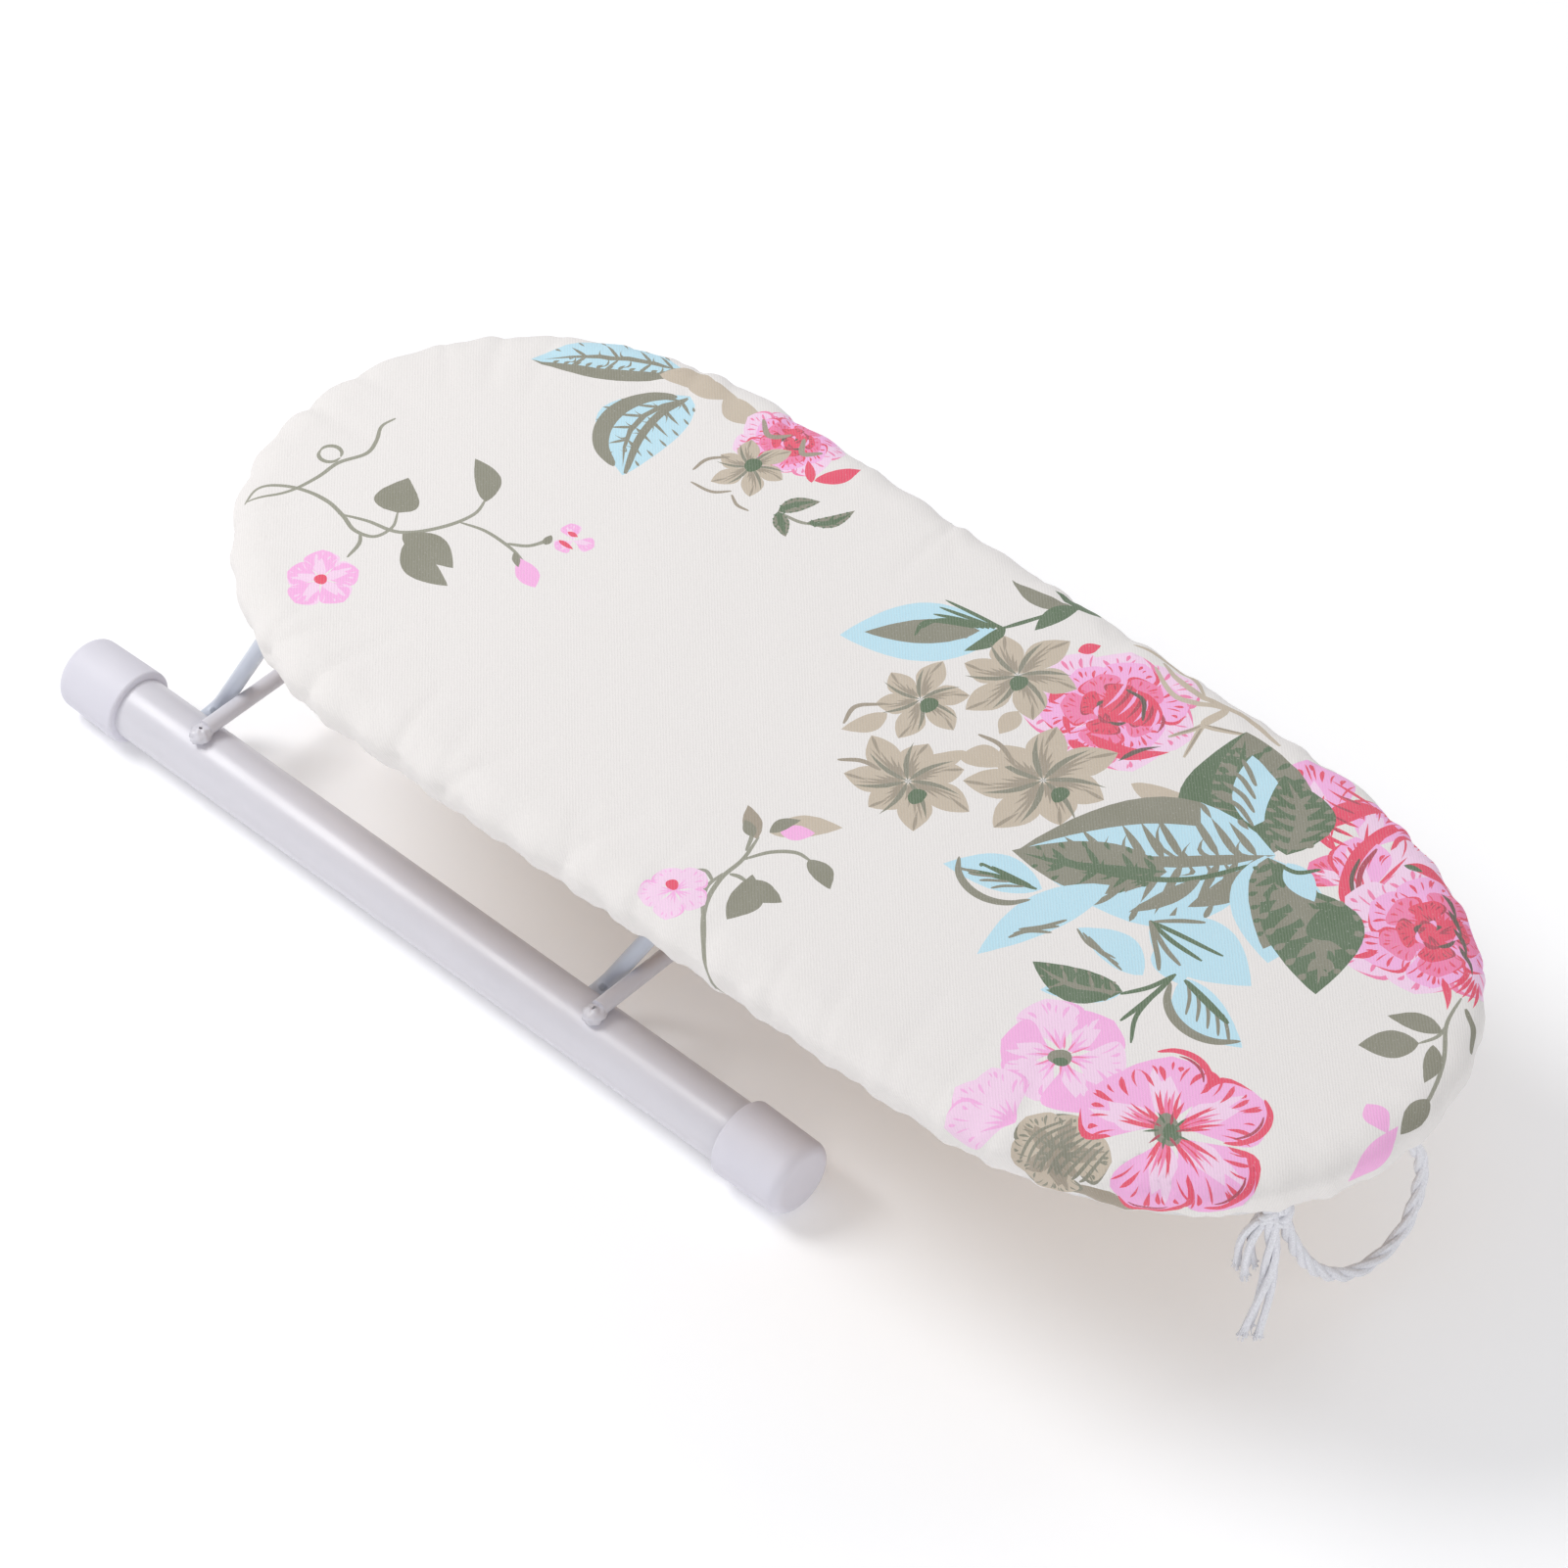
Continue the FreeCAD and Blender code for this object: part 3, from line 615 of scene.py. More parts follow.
def rose(centre, radius, turn, pale=PALE_PINK):
    """A cabbage rose: rings of brushed petals that deepen towards a dark, curled heart."""
    rings = (
        (7, 1.0, 0.80, pale, ROSE),
        (6, 0.80, 0.66, PINK, RED),
        (5, 0.60, 0.52, ROSE, RED),
        (4, 0.42, 0.40, RED, WINE),
    )
    for number, (count, reach, size, ink, edge_ink) in enumerate(rings):
        blob(centre, radius * reach * 0.5, radius * reach * 0.46, turn, ink)
        for k in range(count):
            degrees = turn + 29 * number + k * 360 / count
            length = radius * reach * (1 + 0.09 * math.sin(2.1 * k + number))
            base, tip = around(centre, length * 0.18, degrees - 25), around(centre, length, degrees)
            middle = PALE_PINK if number < 1 else ink
            brushed_petal(base, tip, radius * size, ink, edge_ink, middle, lean=0.08 * radius, touches=7)
    for k in range(9):
        degrees = turn + 47 * k
        start = around(centre, radius * (0.04 + 0.03 * k), degrees)
        dash(start, around(centre, radius * (0.08 + 0.03 * k), degrees + 80 - 3 * k), radius * 0.055,
             BARK if k % 3 == 0 else (PINK if k % 3 == 1 else WINE), lean=-radius * 0.05)


def draw_left_vine():
    stroke([(-169, -46), (-170, -39), (-164, -33), (-154, -30), (-145, -31), (-138, -33), (-132, -31),
            (-131, -25), (-134, -20)], 1.3, SAGE)
    stroke([(-169, -45), (-163, -35), (-161, -25), (-161, -17), (-158, -9), (-160, -3), (-163, 2),
            (-162.5, 7)], 1.3, SAGE)
    crescent((-165.3, -16), 3.3, 20, 200, 1.3, SAGE)
    crescent((-165.3, -16), 3.3, 190, 375, 1.3, SAGE)
    stroke([(-146, -31.5), (-138, -28), (-128, -25), (-121, -16), (-118, -6), (-120, 1)], 1.3, SAGE)
    stroke([(-119, -11), (-111, -8.5), (-101, -8.5), (-94, -10)], 1.1, SAGE)
    stroke([(-103, -8), (-98, -4.5), (-95.5, 1)], 1.2, SAGE, ends=(0.5, 1.6))
    leaves(
        (-119, 0, -134, 10.5, 7.5, OLIVE, -2), (-134, -20, -142, -8, 13, OLIVE, 1.5, 0.62),
        (-127, -25, -107, -25, 10, OLIVE, 1.5), (-124, -27, -103, -31, 9, OLIVE, -2),
        (-97.5, -9.5, -85, -15, 6.5, PINK, 0, 1.3), (-99, -9, -94, -12.5, 2.2, OLIVE),
        (-95, -1, -96.5, 3, 2.6, OLIVE),
    )
    open_flower((-90.5, 5.5), 6.5, 20, PINK, PALE_PINK, count=3, heart=None)
    leaves(
        (-94, 7, -90.5, 7.5, 1.8, RED), (-93.5, 3, -88, 3, 1.7, RED),
    )
    stroke([(-136, -32.5), (-133, -36), (-131.5, -42)], 1.2, SAGE)
    open_flower((-130.5, -53), 11, 62, PINK, PALE_PINK)


def draw_heel_leaves():
    veined_leaf((-117, 78), (-152, 51), 19, BLUE, OLIVE, lean=-3, rim=OLIVE, veins=4)
    veined_leaf((-108, 71), (-99, 34), 25, BLUE, OLIVE, lean=-7, rim=None, veins=5)
    crescent((-101, 53), 18, 122, 262, 5.4, OLIVE)
    stroke([(-108, 70), (-109, 60), (-106, 48), (-99, 35)], 2.6, OLIVE)
    leaves(
        (-121, 72, -104, 79, 9, BEIGE, 2), (-112, 74, -98, 80, 8, BEIGE), (-101, 78, -84, 77, 9, BEIGE, -2),
    )


def draw_far_rose():
    rose((-74, 77), 16, 30)
    leaves(
        (-58, 69, -52, 82, 5.5, RED, -1), (-58, 68, -65, 74, 3, RED),
    )
    stroke([(-86, 78), (-80, 74), (-76, 79)], 1.8, TAUPE)
    stroke([(-72, 80), (-68, 75), (-64, 79)], 1.8, TAUPE)
    star_flower((-75, 61), 11.5, 12, (-75, 62), count=6)
    stroke([(-82, 60), (-86, 55), (-86, 49)], 1.2, TAUPE)
    stroke([(-72, 50), (-76, 46), (-83, 45)], 1.1, TAUPE)
    stroke([(-71, 49), (-67, 47), (-63, 47.5)], 1.0, TAUPE)
    stroke([(-56, 53), (-50, 54), (-46, 56)], 1.2, SAGE)
    veined_leaf((-57, 53), (-51, 64), 5.5, OLIVE, GREEN, lean=1, veins=2)
    veined_leaf((-48, 55), (-41.5, 68), 4.6, OLIVE, GREEN, lean=-2, veins=2)
    veined_leaf((-57, 53), (-48.5, 47), 4.6, OLIVE, GREEN, veins=2)


def draw_middle_sprig():
    leaf((21, 59), (-11, 28.5), 23, BLUE, lean=-1, fat=0.9)
    veined_leaf((16, 56), (-7, 34), 9.5, OLIVE, OLIVE, veins=4)
    for k in range(6):
        start = (19.5 - 1.2 * k, 60.5 - 0.9 * k)
        line = [start, (13 - 2 * k, 60 - 2.2 * k), (1 + 0.6 * k, 58.5 - 3.2 * k)]
        stroke(line, 1.3, GREEN, ends=(1.2, 0.2))
    leaf((20, 62), (18, 47), 4.5, GREEN, lean=1.5)
    stroke([(20, 61), (24, 70), (30, 82)], 1.5, GREEN)
    leaves(
        (29, 81, 9, 77, 5.4, OLIVE, 3), (29, 82, 27, 66, 6, GREEN, -1), (36, 84, 20, 82.5, 4.4, GREEN),
    )


def draw_star_flowers():
    star_flower((35, 50), 17, 25, (37, 48), count=6)
    leaf((44, 40), (46, 30), 6, BEIGE)
    star_flower((22, 25), 14, 50, (25, 25), count=6)
    leaf((19, 15), (14, 2), 6.5, BEIGE, lean=1.2)
    stroke([(16, 17), (11, 11), (13, 4)], 1.4, TAUPE)
    star_flower((66, 25), 20, 18, (72.8, 24), count=7)
    leaves(
        (44, 16, 56, 23, 8.5, BEIGE, 2), (44, 19, 36, 8, 5.5, BEIGE, 2),
    )
    stroke([(42, 26), (49, 27), (57, 24)], 1.5, TAUPE)
    star_flower((40, 0), 17, 8, (45.6, -2.6), count=7)
    stroke([(32, -2), (26, -3), (21, -7)], 1.5, TAUPE)


def draw_middle_rose():
    rose((62, 58), 24, 15)
    blob((66, 62), 8.5, 6.5, 15, RED)
    for k in range(8):
        ink = WINE if k % 2 else PINK
        dash((58 + 2.2 * k, 69 - 0.5 * k), (60 + 2.4 * k, 56 + 0.4 * k), 1.1, ink, lean=0.9)
    stroke([(60, 66), (66, 66), (71, 60)], 1.3, BARK)
    leaf((63, 46), (84, 56), 5, RED, lean=-4)
    dash((76, 44), (81, 56), 1.6, BARK, lean=1.2)
    leaves(
        (46, 57, 48, 48, 3.6, RED), (41, 68, 44, 74, 4, RED), (61, 41, 68, 41, 3.2, RED),
        (54, 47, 60, 43, 1.8, RED),
    )
    crescent((62, 58), 26, 55, 118, 2.2, BEIGE)
    for end in ((88, 57), (80, 60), (97, 76)):
        stroke([(60, 78), (72, 73), (84, 79), (84, 70), end], 1.9, BEIGE)
        dash((84, 70), end, 0.8, TAUPE)
    stroke([(60, 82), (72, 78), (90, 81), (104, 78)], 2.2, BEIGE)
    leaf((84, 40), (100, 47), 7, BEIGE, lean=-2)


def draw_leaf_cluster():
    veined_leaf((128, 46), (94, 76), 36, OLIVE, GREEN, lean=4, rim=GREEN, veins=7, weight=2.2)
    leaf((118, 50), (101, 70), 13, BLUE, lean=-1)
    for k in range(4):
        stroke([(118 - 3 * k, 50 + 4 * k), (110 - 2 * k, 53 + 4 * k), (103 - k, 52 + 5 * k)], 1.5, OLIVE)
    veined_leaf((131, 48), (112, 70), 19, GREEN, OLIVE, lean=-4, veins=5, weight=1.6)
    veined_leaf((129, 46), (78, 1), 47, BLUE, OLIVE, lean=3, rim=None, veins=8, weight=1.9)
    _, right, rib = leaf_edges((129, 46), (78, 1), 47, 3, 0.85)
    inner = right + (rib - right) * 0.42
    fill([tuple(p) for p in right[4:]] + [tuple(p) for p in inner[-2:3:-1]], OLIVE)
    veined_leaf((112, 22), (77, 0), 19, OLIVE, GREEN, lean=2, veins=4, weight=1.5)
    stroke([(127, 40), (118, 24), (103, 12), (86, 6)], 1.9, GREEN)
    leaves(
        (128, 40, 124, 16, 8, OLIVE, 2), (120, 26, 114, 4, 5, OLIVE, 1),
    )
    stroke([(107, 11), (106, 2), (101, -5)], 1.8, OLIVE)
    leaf((127, 44), (152, 15), 25, BLUE, lean=3)
    veined_leaf((128, 44), (148, 18), 19, OLIVE, GREEN, lean=5, veins=4, weight=1.8)
    veined_leaf((135, 38), (168, 15), 26, GREEN, OLIVE, lean=6, veins=6, weight=2.4)
    leaves(
        (150, 40, 163, 36, 14, GREEN, -2), (133, 46, 147, 40, 8, BLUE),
    )
    stroke([(131, 44), (137, 45), (141, 50)], 1.5, GREEN)
    leaf((104, 8), (95, -34), 13, BLUE, lean=-2)
    for k in range(3):
        stroke([(104, -9 - 3 * k), (101 - k, -15 - 2 * k), (97, -20 - 2 * k)], 1.3, OLIVE)
    leaves(
        (120, 6, 154, 6, 21, BLUE, 1), (128, 4, 140, -6, 12, BLUE),
    )
    for k in range(4):
        stroke([(120, 5.5), (129, 7 - 3 * k), (142 - 3 * k, 9 - 5 * k)], 1.5, GREEN if k < 2 else OLIVE)
    stroke([(121, 6), (126, 11), (131, 15)], 1.5, OLIVE)


def draw_nose_rose():
    for base, tip, wide, ink in (
        ((136, 60), (112, 80), 22, PINK),
        ((140, 58), (112, 66), 18, PALE_PINK),
        ((146, 62), (138, 84), 20, PINK),
        ((152, 52), (137, 50), 13, ROSE),
        ((156, 54), (160, 84), 22, PALE_PINK),
        ((158, 48), (140, 66), 17, PINK),
    ):
        brushed_petal(base, tip, wide, ink, RED, PALE_PINK, touches=11)
    leaf((131, 61), (139, 81), 7, RED, lean=2)
    for k in range(6):
        dash((136 + k, 79 - 3.4 * k), (122 + 1.5 * k, 77.5 - 3.4 * k), 1.2, RED, lean=0.6)
    for k in range(4):
        dash((134 + k, 76 - 4 * k), (127 + k, 74 - 3.5 * k), 0.8, WINE)
    stroke([(145, 77), (144, 67), (146, 57), (152, 47), (162, 43)], 3.8, RED, ends=(0.7, 0.9))
    stroke([(147, 66), (149, 57), (155, 48)], 1.6, WINE)
    stroke([(146, 60), (149, 53), (155, 47)], 1.2, BARK)
    rose((176, 53), 25, 40)
    for base, tip in (
        ((162, 44), (150, 38)), ((166, 40), (154, 36)), ((170, 38), (166, 31)), ((188, 42), (196, 34)),
    ):
        dash(base, tip, 2.2, RED, lean=0.8)
    leaves(
        (156, 66, 170, 72, 4, RED, 1), (156, 66, 161, 68, 2, GREEN),
    )
    for k in range(4):
        dash((169 + 5 * k, 66 - 4 * k), (178 + 5 * k, 61 - 4 * k), 1.5, BARK, lean=0.7)
    for k in range(5):
        dash((192 + k, 49), (192 + 2 * k, 40), 1.2, RED, lean=0.4)


def draw_nose_vine():
    stroke([(196, 40), (199, 30), (206, 20), (210.5, 10), (212, 0)], 1.2, SAGE)
    stroke([(199, 38), (205, 35), (209, 29)], 2.0, OLIVE)
    stroke([(199, 31), (200, 25), (198, 20)], 1.1, SAGE)
    leaves(
        (200, 27, 186, 22, 6.5, OLIVE, -1), (198, 20, 187, 9, 9.5, OLIVE), (201, 22, 207, 11, 5, OLIVE, 1),
        (211, 8, 213, -5, 6, OLIVE), (211, -8, 201, -5, 7, PINK, 0, 1.3),
        (211, -4, 215, -24, 7, PINK, 0, 1.2),
    )


def draw_small_leaves():
    leaf((92, -5), (67, -16), 13, BLUE, lean=-2)
    crescent((80, -5), 13.2, 208, 338, 2.4, OLIVE)
    stroke([(91, -6), (82, -9), (72, -14)], 1.7, GREEN)
    for k in range(4):
        stroke([(88 - 4 * k, -7.5 - 1.4 * k), (84 - 4 * k, -11 - k), (82 - 4 * k, -14)], 1.0, OLIVE)
    for k in range(3):
        stroke([(89 - 3 * k, -6 - k), (83 - 4 * k, -7 - k), (77 - k, -8 - k)], 1.0, GREEN)
    leaf((131, -10), (108, -9), 11, BLUE, lean=-2)
    for k in range(3):
        stroke([(108 + 2 * k, -9.5), (114 + 3 * k, -11.5), (122 + 2 * k, -10.5 - k)], 1.0, OLIVE)
    leaf((131, -18), (115, -32), 10, BLUE, lean=-1)
    veined_leaf((131, -18), (107, -26), 12, GREEN, OLIVE, lean=3, veins=3)
    leaves(
        (130, -21, 116, -31, 4.5, GREEN, 1), (139, -4, 166, -12, 14, BLUE, -3),
    )
    crescent((152, -2), 15, 200, 325, 2.8, OLIVE)
    for k in range(5):
        line = [(141 + 3.5 * k, -4 - 0.6 * k), (145 + 3.5 * k, -8 - 0.4 * k), (148 + 3.6 * k, -13)]
        stroke(line, 1.0, OLIVE)
    stroke([(140, -4), (149, -6), (158, -8)], 2.2, GREEN)
    stroke([(137, -4), (135, -12), (131, -19)], 1.5, GREEN)
    stroke([(137, -4), (137.5, -15), (137, -26)], 1.6, GREEN)
    stroke([(137.5, -12), (139, -22), (144, -30)], 1.3, GREEN)


def draw_pink_flowers():
    centre = (134, -45)
    for k in range(6):
        degrees = 84 + 60 * k
        base, tip = around(centre, 2, degrees), around(centre, 18 + 2 * math.sin(2 * k), degrees)
        brushed_petal(base, tip, 18, PALE_PINK if k % 2 else PINK, PINK, PALE_PINK, touches=7)
    for k in range(12):
        dash(around(centre, 2, 30 * k), around(centre, 6 + k % 3, 30 * k + 6), 0.6, ROSE)
    blob((134, -46), 3.2, 2.8, 30, OLIVE)
    blob((135, -47), 2.0, 1.5, 30, GREEN)
    for degrees in (150, 185, 220):
        brushed_petal((140, -70), around((140, -70), 19, degrees), 15, PALE_PINK, PINK, PALE_PINK, touches=7)
    leaf((180, -71), (158, -80), 7, TAUPE, lean=-1)
    centre = (154, -70)
    blob(centre, 8, 7, 0, TAUPE)
    for degrees, reach, wide in ((30, 14, 14), (100, 13, 14), (165, 14, 13), (235, 13, 14), (300, 14, 14)):
        base, tip = around(centre, 1, degrees), around(centre, reach, degrees)
        brushed_petal(base, tip, wide, BEIGE, OLIVE, TAUPE, touches=9)
    for k in range(9):
        stroke([(147 + 2.0 * k, -78 + 0.6 * k), (146 + 2.2 * k, -70), (149 + 1.8 * k, -61)], 1.0, OLIVE)
    centre = (170, -46)
    for degrees, reach, wide in ((128, 25, 26), (62, 27, 24), (-8, 30, 23), (-62, 27, 22), (190, 24, 27)):
        brushed_petal(around(centre, 1, degrees), around(centre, reach, degrees), wide,
                      PINK, RED, PALE_PINK, touches=9)
        for slip in (-18, -8, 4, 15):
            dash(around(centre, 4, degrees + slip), around(centre, reach * 0.55, degrees + slip * 0.7), 1.0,
                 RED if slip % 4 else ROSE, lean=0.4)
    for degrees, first in ((128, 20), (62, 300), (-8, -60), (-62, 240)):
        crescent(around(centre, 17, degrees), 10, first, first + 130, 2.0, RED)
        crescent(around(centre, 17, degrees), 8.4, first + 15, first + 95, 0.9, WINE)
    blob(centre, 5.4, 3.4, -38, OLIVE)
    blob((171, -46), 3.0, 2.0, -38, GREEN)
    for k in range(10):
        dash(around(centre, 2, 36 * k), around(centre, 6.5, 36 * k + 10), 0.8, WINE if k % 2 else GREEN)


def draw_lower_vine():
    stroke([(49, -92), (42, -82), (32, -70), (28, -60), (27.5, -51), (25, -42)], 1.4, SAGE)
    stroke([(47, -90), (38, -77), (28, -66), (27, -58)], 1.3, SAGE)
    stroke([(26, -48), (24, -44), (22, -41)], 1.2, SAGE)
    stroke([(27.5, -51), (31, -44), (36, -39.5), (41, -39)], 1.3, SAGE)
    leaves(
        (40, -39, 51.5, -43, 6, OLIVE, 1), (25, -43, 15, -35.5, 5.2, TAUPE), (24, -43, 18, -40, 3.6, OLIVE),
        (26, -39, 39, -24.5, 8, BEIGE, 1.5), (28, -37, 35, -31, 5.5, PINK), (26, -39, 29, -30, 4, OLIVE, 1),
    )
    stroke([(28.5, -57), (31, -56), (34, -56)], 1.3, SAGE)
    leaves(
        (33, -53, 39, -69, 9, OLIVE, 2, 1.1), (34, -55, 45.5, -55, 7, OLIVE, -1),
    )
    stroke([(27.5, -62), (23, -60.5), (20, -64)], 1.2, SAGE)
    open_flower((22, -71), 9.5, 10, PALE_PINK, PINK, heart=None)
    blob((20.2, -70), 1.9, 1.6, -30, RED)


def draw_print():
    """A generic spray of roses, star flowers, leaves and vines, laid out on the cloth."""
    for section in (draw_left_vine, draw_heel_leaves, draw_far_rose, draw_middle_sprig, draw_middle_rose,
                    draw_star_flowers, draw_nose_rose, draw_leaf_cluster, draw_nose_vine, draw_small_leaves,
                    draw_pink_flowers, draw_lower_vine):
        section()


# ---------------------------------------------------------------- the cover

CREASES = [
    # start, end, half width, depth
    ((-14, -66), (8, -92), 2.2, 0.55),
    ((-54, -78), (-36, -94), 2.0, 0.5),
    ((-92, -72), (-62, -92), 2.6, 0.45),
    ((-108, -78), (-96, -90), 1.8, 0.4),
    ((52, -92), (60, -80), 2.2, 0.45),
    ((60, -80), (82, -92), 2.6, 0.4),
    ((96, -78), (112, -92), 2.0, 0.35),
    ((-34, -26), (-6, -30), 2.4, 0.12),
    ((2, -25), (30, -24), 2.6, 0.10),
    ((-70, 40), (-20, 46), 3.0, 0.10),
    ((-30, 92), (-8, 72), 2.2, 0.45),
    ((30, 94), (44, 78), 2.0, 0.45),
    ((84, 94), (96, 76), 2.2, 0.45),
    ((-90, 92), (-72, 74), 2.0, 0.4),
]


def edge_creases():
    """Slanting creases where the drawn cloth pulls over the edge, all round the board."""
    draw = random.Random(SEED + 5)
    count = 52
    for number in range(count):
        at = int((number + 0.8 * draw.random()) / count * RING_STEPS)
        slip = draw.choice((-1, 1)) * draw.randint(2, 8)
        inner = RING[at] - RING_OUT[at] * draw.uniform(14, 32)
        outer = RING[(at + slip) % RING_STEPS] + RING_OUT[(at + slip) % RING_STEPS] * 4
        yield inner, outer, draw.uniform(1.6, 2.8), draw.uniform(0.45, 1.0)


def crease_depth(places):
    depth = np.zeros(len(places))
    for start, end, wide, deep in [*CREASES, *edge_creases()]:
        start, end = np.array(start, float), np.array(end, float)
        axis = end - start
        share = np.clip(((places - start) @ axis) / (axis @ axis), 0, 1)
        apart = np.linalg.norm(places - (start + share[:, None] * axis), axis=1)
        fade = 0.35 + 0.65 * share if deep > 0.2 else np.sin(np.pi * np.clip(share, 0.02, 0.98))
        depth += deep * fade * np.exp(-(apart / wide) ** 2)
    return depth


def gathers(number, outside):
    """How far the drawn-in cloth stands out at each ring number and distance down the edge."""
    walked = number / (4 * RING_STEPS) * RING_LENGTH
    turn = number / (4 * RING_STEPS) * math.tau
    lazy = np.array([ring_wobble(a, 16, 4) for a in turn])
    quick = np.array([ring_wobble(a, 5.5, 5) for a in turn])
    grow = np.clip((outside - 9) / (CLOTH_REACH - 9), 0, 1)
    fold = np.sin(walked / GATHER * math.tau + 3.2 * lazy) * (0.55 + 0.45 * quick)
    broad = np.sin(walked / 18 * math.tau + 3.4 * lazy)
    reach_up = np.clip((outside + 2) / 14, 0, 1)
    return 0.8 * grow**1.8 * fold + 0.45 * reach_up * broad + 0.25 * reach_up * quick


def wrap_cloth(places):
    """Flat cloth places to places on the board, in millimetres."""
    number, sideways, outside = nearest_on_ring(places)
    out = FINE_OUT[number]
    across = leftward(out)
    line = FINE_RING[number] - out * TOP_ROUND
    inside = outside <= 0
    reach = np.interp(outside, ALONG_CLOTH, PROFILE_OUT)
    height = np.interp(outside, ALONG_CLOTH, PROFILE_HEIGHT)
    flat = np.where(inside[:, None], places, line + out * reach[:, None] + across * sideways[:, None])
    step = 0.2
    ahead, drop = [
        np.interp(outside + step, ALONG_CLOTH, part) - np.interp(outside - step, ALONG_CLOTH, part)
        for part in (PROFILE_OUT, PROFILE_HEIGHT)
    ]
    size = np.hypot(ahead, drop)
    size[size < 1e-6] = 1
    face_out = np.where(inside, 0, -drop / size)
    face_up = np.where(inside, 1, ahead / size)
    soft = np.array([0.34 * wobble(x, y, 38, 6) + 0.12 * wobble(x, y, 11, 7) for x, y in places])
    lift = soft + gathers(number, outside) * (outside > -4) - crease_depth(places)
    points = np.column_stack([flat, height])
    points[:, :2] += out * (face_out * lift)[:, None]
    points[:, 2] += face_up * lift
    return points


def holds(outline, spots):
    """Which spots lie inside a closed outline."""
    inside = np.zeros(len(spots), bool)
    for (x1, y1), (x2, y2) in zip(outline, np.roll(outline, -1, 0)):
        if y1 != y2:
            crosses = (y1 > spots[:, 1]) != (y2 > spots[:, 1])
            inside ^= crosses & (spots[:, 0] < (x2 - x1) * (spots[:, 1] - y1) / (y2 - y1) + x1)
    return inside


def cloth_mesh():
    """The printed cover: the print's outlines are cut into the cloth's mesh, so every
    motif has a crisp edge, and each face carries its ink."""
    draw_print()
    rings = []
    line = RING - RING_OUT * TOP_ROUND
    for outside in np.linspace(0, CLOTH_REACH, EDGE_ROWS):
        rings.append(line + RING_OUT * outside)
    xs = np.arange(HEEL_TIP + TOP_ROUND, NOSE_TIP - TOP_ROUND, CLOTH_SPACING)
    ys = np.arange(-BOARD_HALF_WIDTH + TOP_ROUND, BOARD_HALF_WIDTH - TOP_ROUND, CLOTH_SPACING)
    lattice = np.array([(x, y) for x in xs for y in ys])
    outside = nearest_on_ring(lattice)[2]
    lattice = lattice[outside < -CLOTH_GAP]
    places = [tuple(p) for p in np.vstack([rings[-1], *rings[:-1], lattice])]
    outlines = [list(range(RING_STEPS))]
    for points, _ in shapes:
        outlines.append(list(range(len(places), len(places) + len(points))))
        places.extend((x + PRINT_SHIFT[0], y + PRINT_SHIFT[1]) for x, y in points)
    edges = [pair for outline in outlines for pair in zip(outline, outline[1:] + outline[:1])]
    cut = geometry.delaunay_2d_cdt([Vector(p) for p in places], edges, [], 0, 1e-4)
    flat = np.array([(p.x, p.y) for p in cut[0]])
    triangles = np.array(cut[2])
    triangles = triangles[np.argsort(flat[triangles].mean(1)[:, 0])]
    centres = flat[triangles].mean(1)
    places = np.array(places)
    owner = np.full(len(triangles), -1)
    for number, outline in enumerate(outlines):
        corners = places[outline]
        low, high = corners.min(0), corners.max(0)
        first, last = np.searchsorted(centres[:, 0], (low[0], high[0]))
        across = centres[first:last, 1]
        near = first + np.flatnonzero((across >= low[1]) & (across <= high[1]))
        owner[near[holds(corners, centres[near])]] = number
    triangles, owner = triangles[owner >= 0], owner[owner >= 0]
    used, triangles = np.unique(triangles, return_inverse=True)
    triangles = triangles.reshape(-1, 3)
    flat = flat[used]
    item = new_object("printed_cover", wrap_cloth(flat), triangles.tolist())
    inks = [CREAM] + [ink for _, ink in shapes]
    print_layer = item.data.color_attributes.new("print", "FLOAT_COLOR", "CORNER")
    cloth_map = item.data.uv_layers.new(name="cloth")
    print_layer.data.foreach_set("color", np.repeat(np.array(inks)[owner], 3, axis=0).ravel())
    cloth_map.data.foreach_set("uv", (flat[triangles.ravel()] / 100).ravel())
    return item


# ---------------------------------------------------------------- lofted pieces

def around_board(name, section, steps=RING_STEPS):
    """A closed band round the board from a cross section of (inset, height) points, which
    may be a function of the ring number."""
    rows = []
    for number in range(steps):
        at = number * RING_STEPS // steps
        for inset, height in (section(at) if callable(section) else section):
            place = RING[at] - RING_OUT[at] * inset
            rows.append((place[0], place[1], height))
    count = len(rows) // steps
    return new_object(name, rows, grid_faces(steps, count, wrap_rows=True))


def hem_section(number):
    turn = number / RING_STEPS * math.tau
    walked = number / RING_STEPS * RING_LENGTH
    lazy = ring_wobble(turn, 16, 4)
    quick = ring_wobble(turn, 2.4, 8)
    ridge = math.sin(walked / GATHER * math.tau + 3.2 * lazy) * 0.5 + quick * 0.9
    points = []
    for k in range(14):
        angle = k * math.tau / 14
        radius = HEM_RADIUS + 0.26 * ridge * (0.6 + 0.4 * math.cos(angle + 2 * lazy))
        points.append((HEM_INSET - radius * math.cos(angle), HEM_HEIGHT + radius * 0.98 * math.sin(angle)))
    return points


def foam_pad():
    """Foam over the panel and down past its edge, with an open seat for the panel."""
    section = [(40.0, 91.6), (14.0, 91.6), (9.0, 91.2), (5.5, 89.9), (3.0, 87.6), (2.1, 85.2),
               (2.4, 82.4), (3.0, 80.2), (3.7, 79.6), (4.05, 80.0), (4.05, 86.15), (40.0, 86.15)]
    points = []
    for inset, height in section:
        for place, out in zip(RING, RING_OUT):
            spot = place - out * inset
            points.append((spot[0], spot[1], height + 0.12 * wobble(spot[0], spot[1], 14, 9)))
    faces = grid_faces(len(section), RING_STEPS) + end_faces(len(section), RING_STEPS)
    return new_object("foam_filling", points, faces)


# ---------------------------------------------------------------- rope

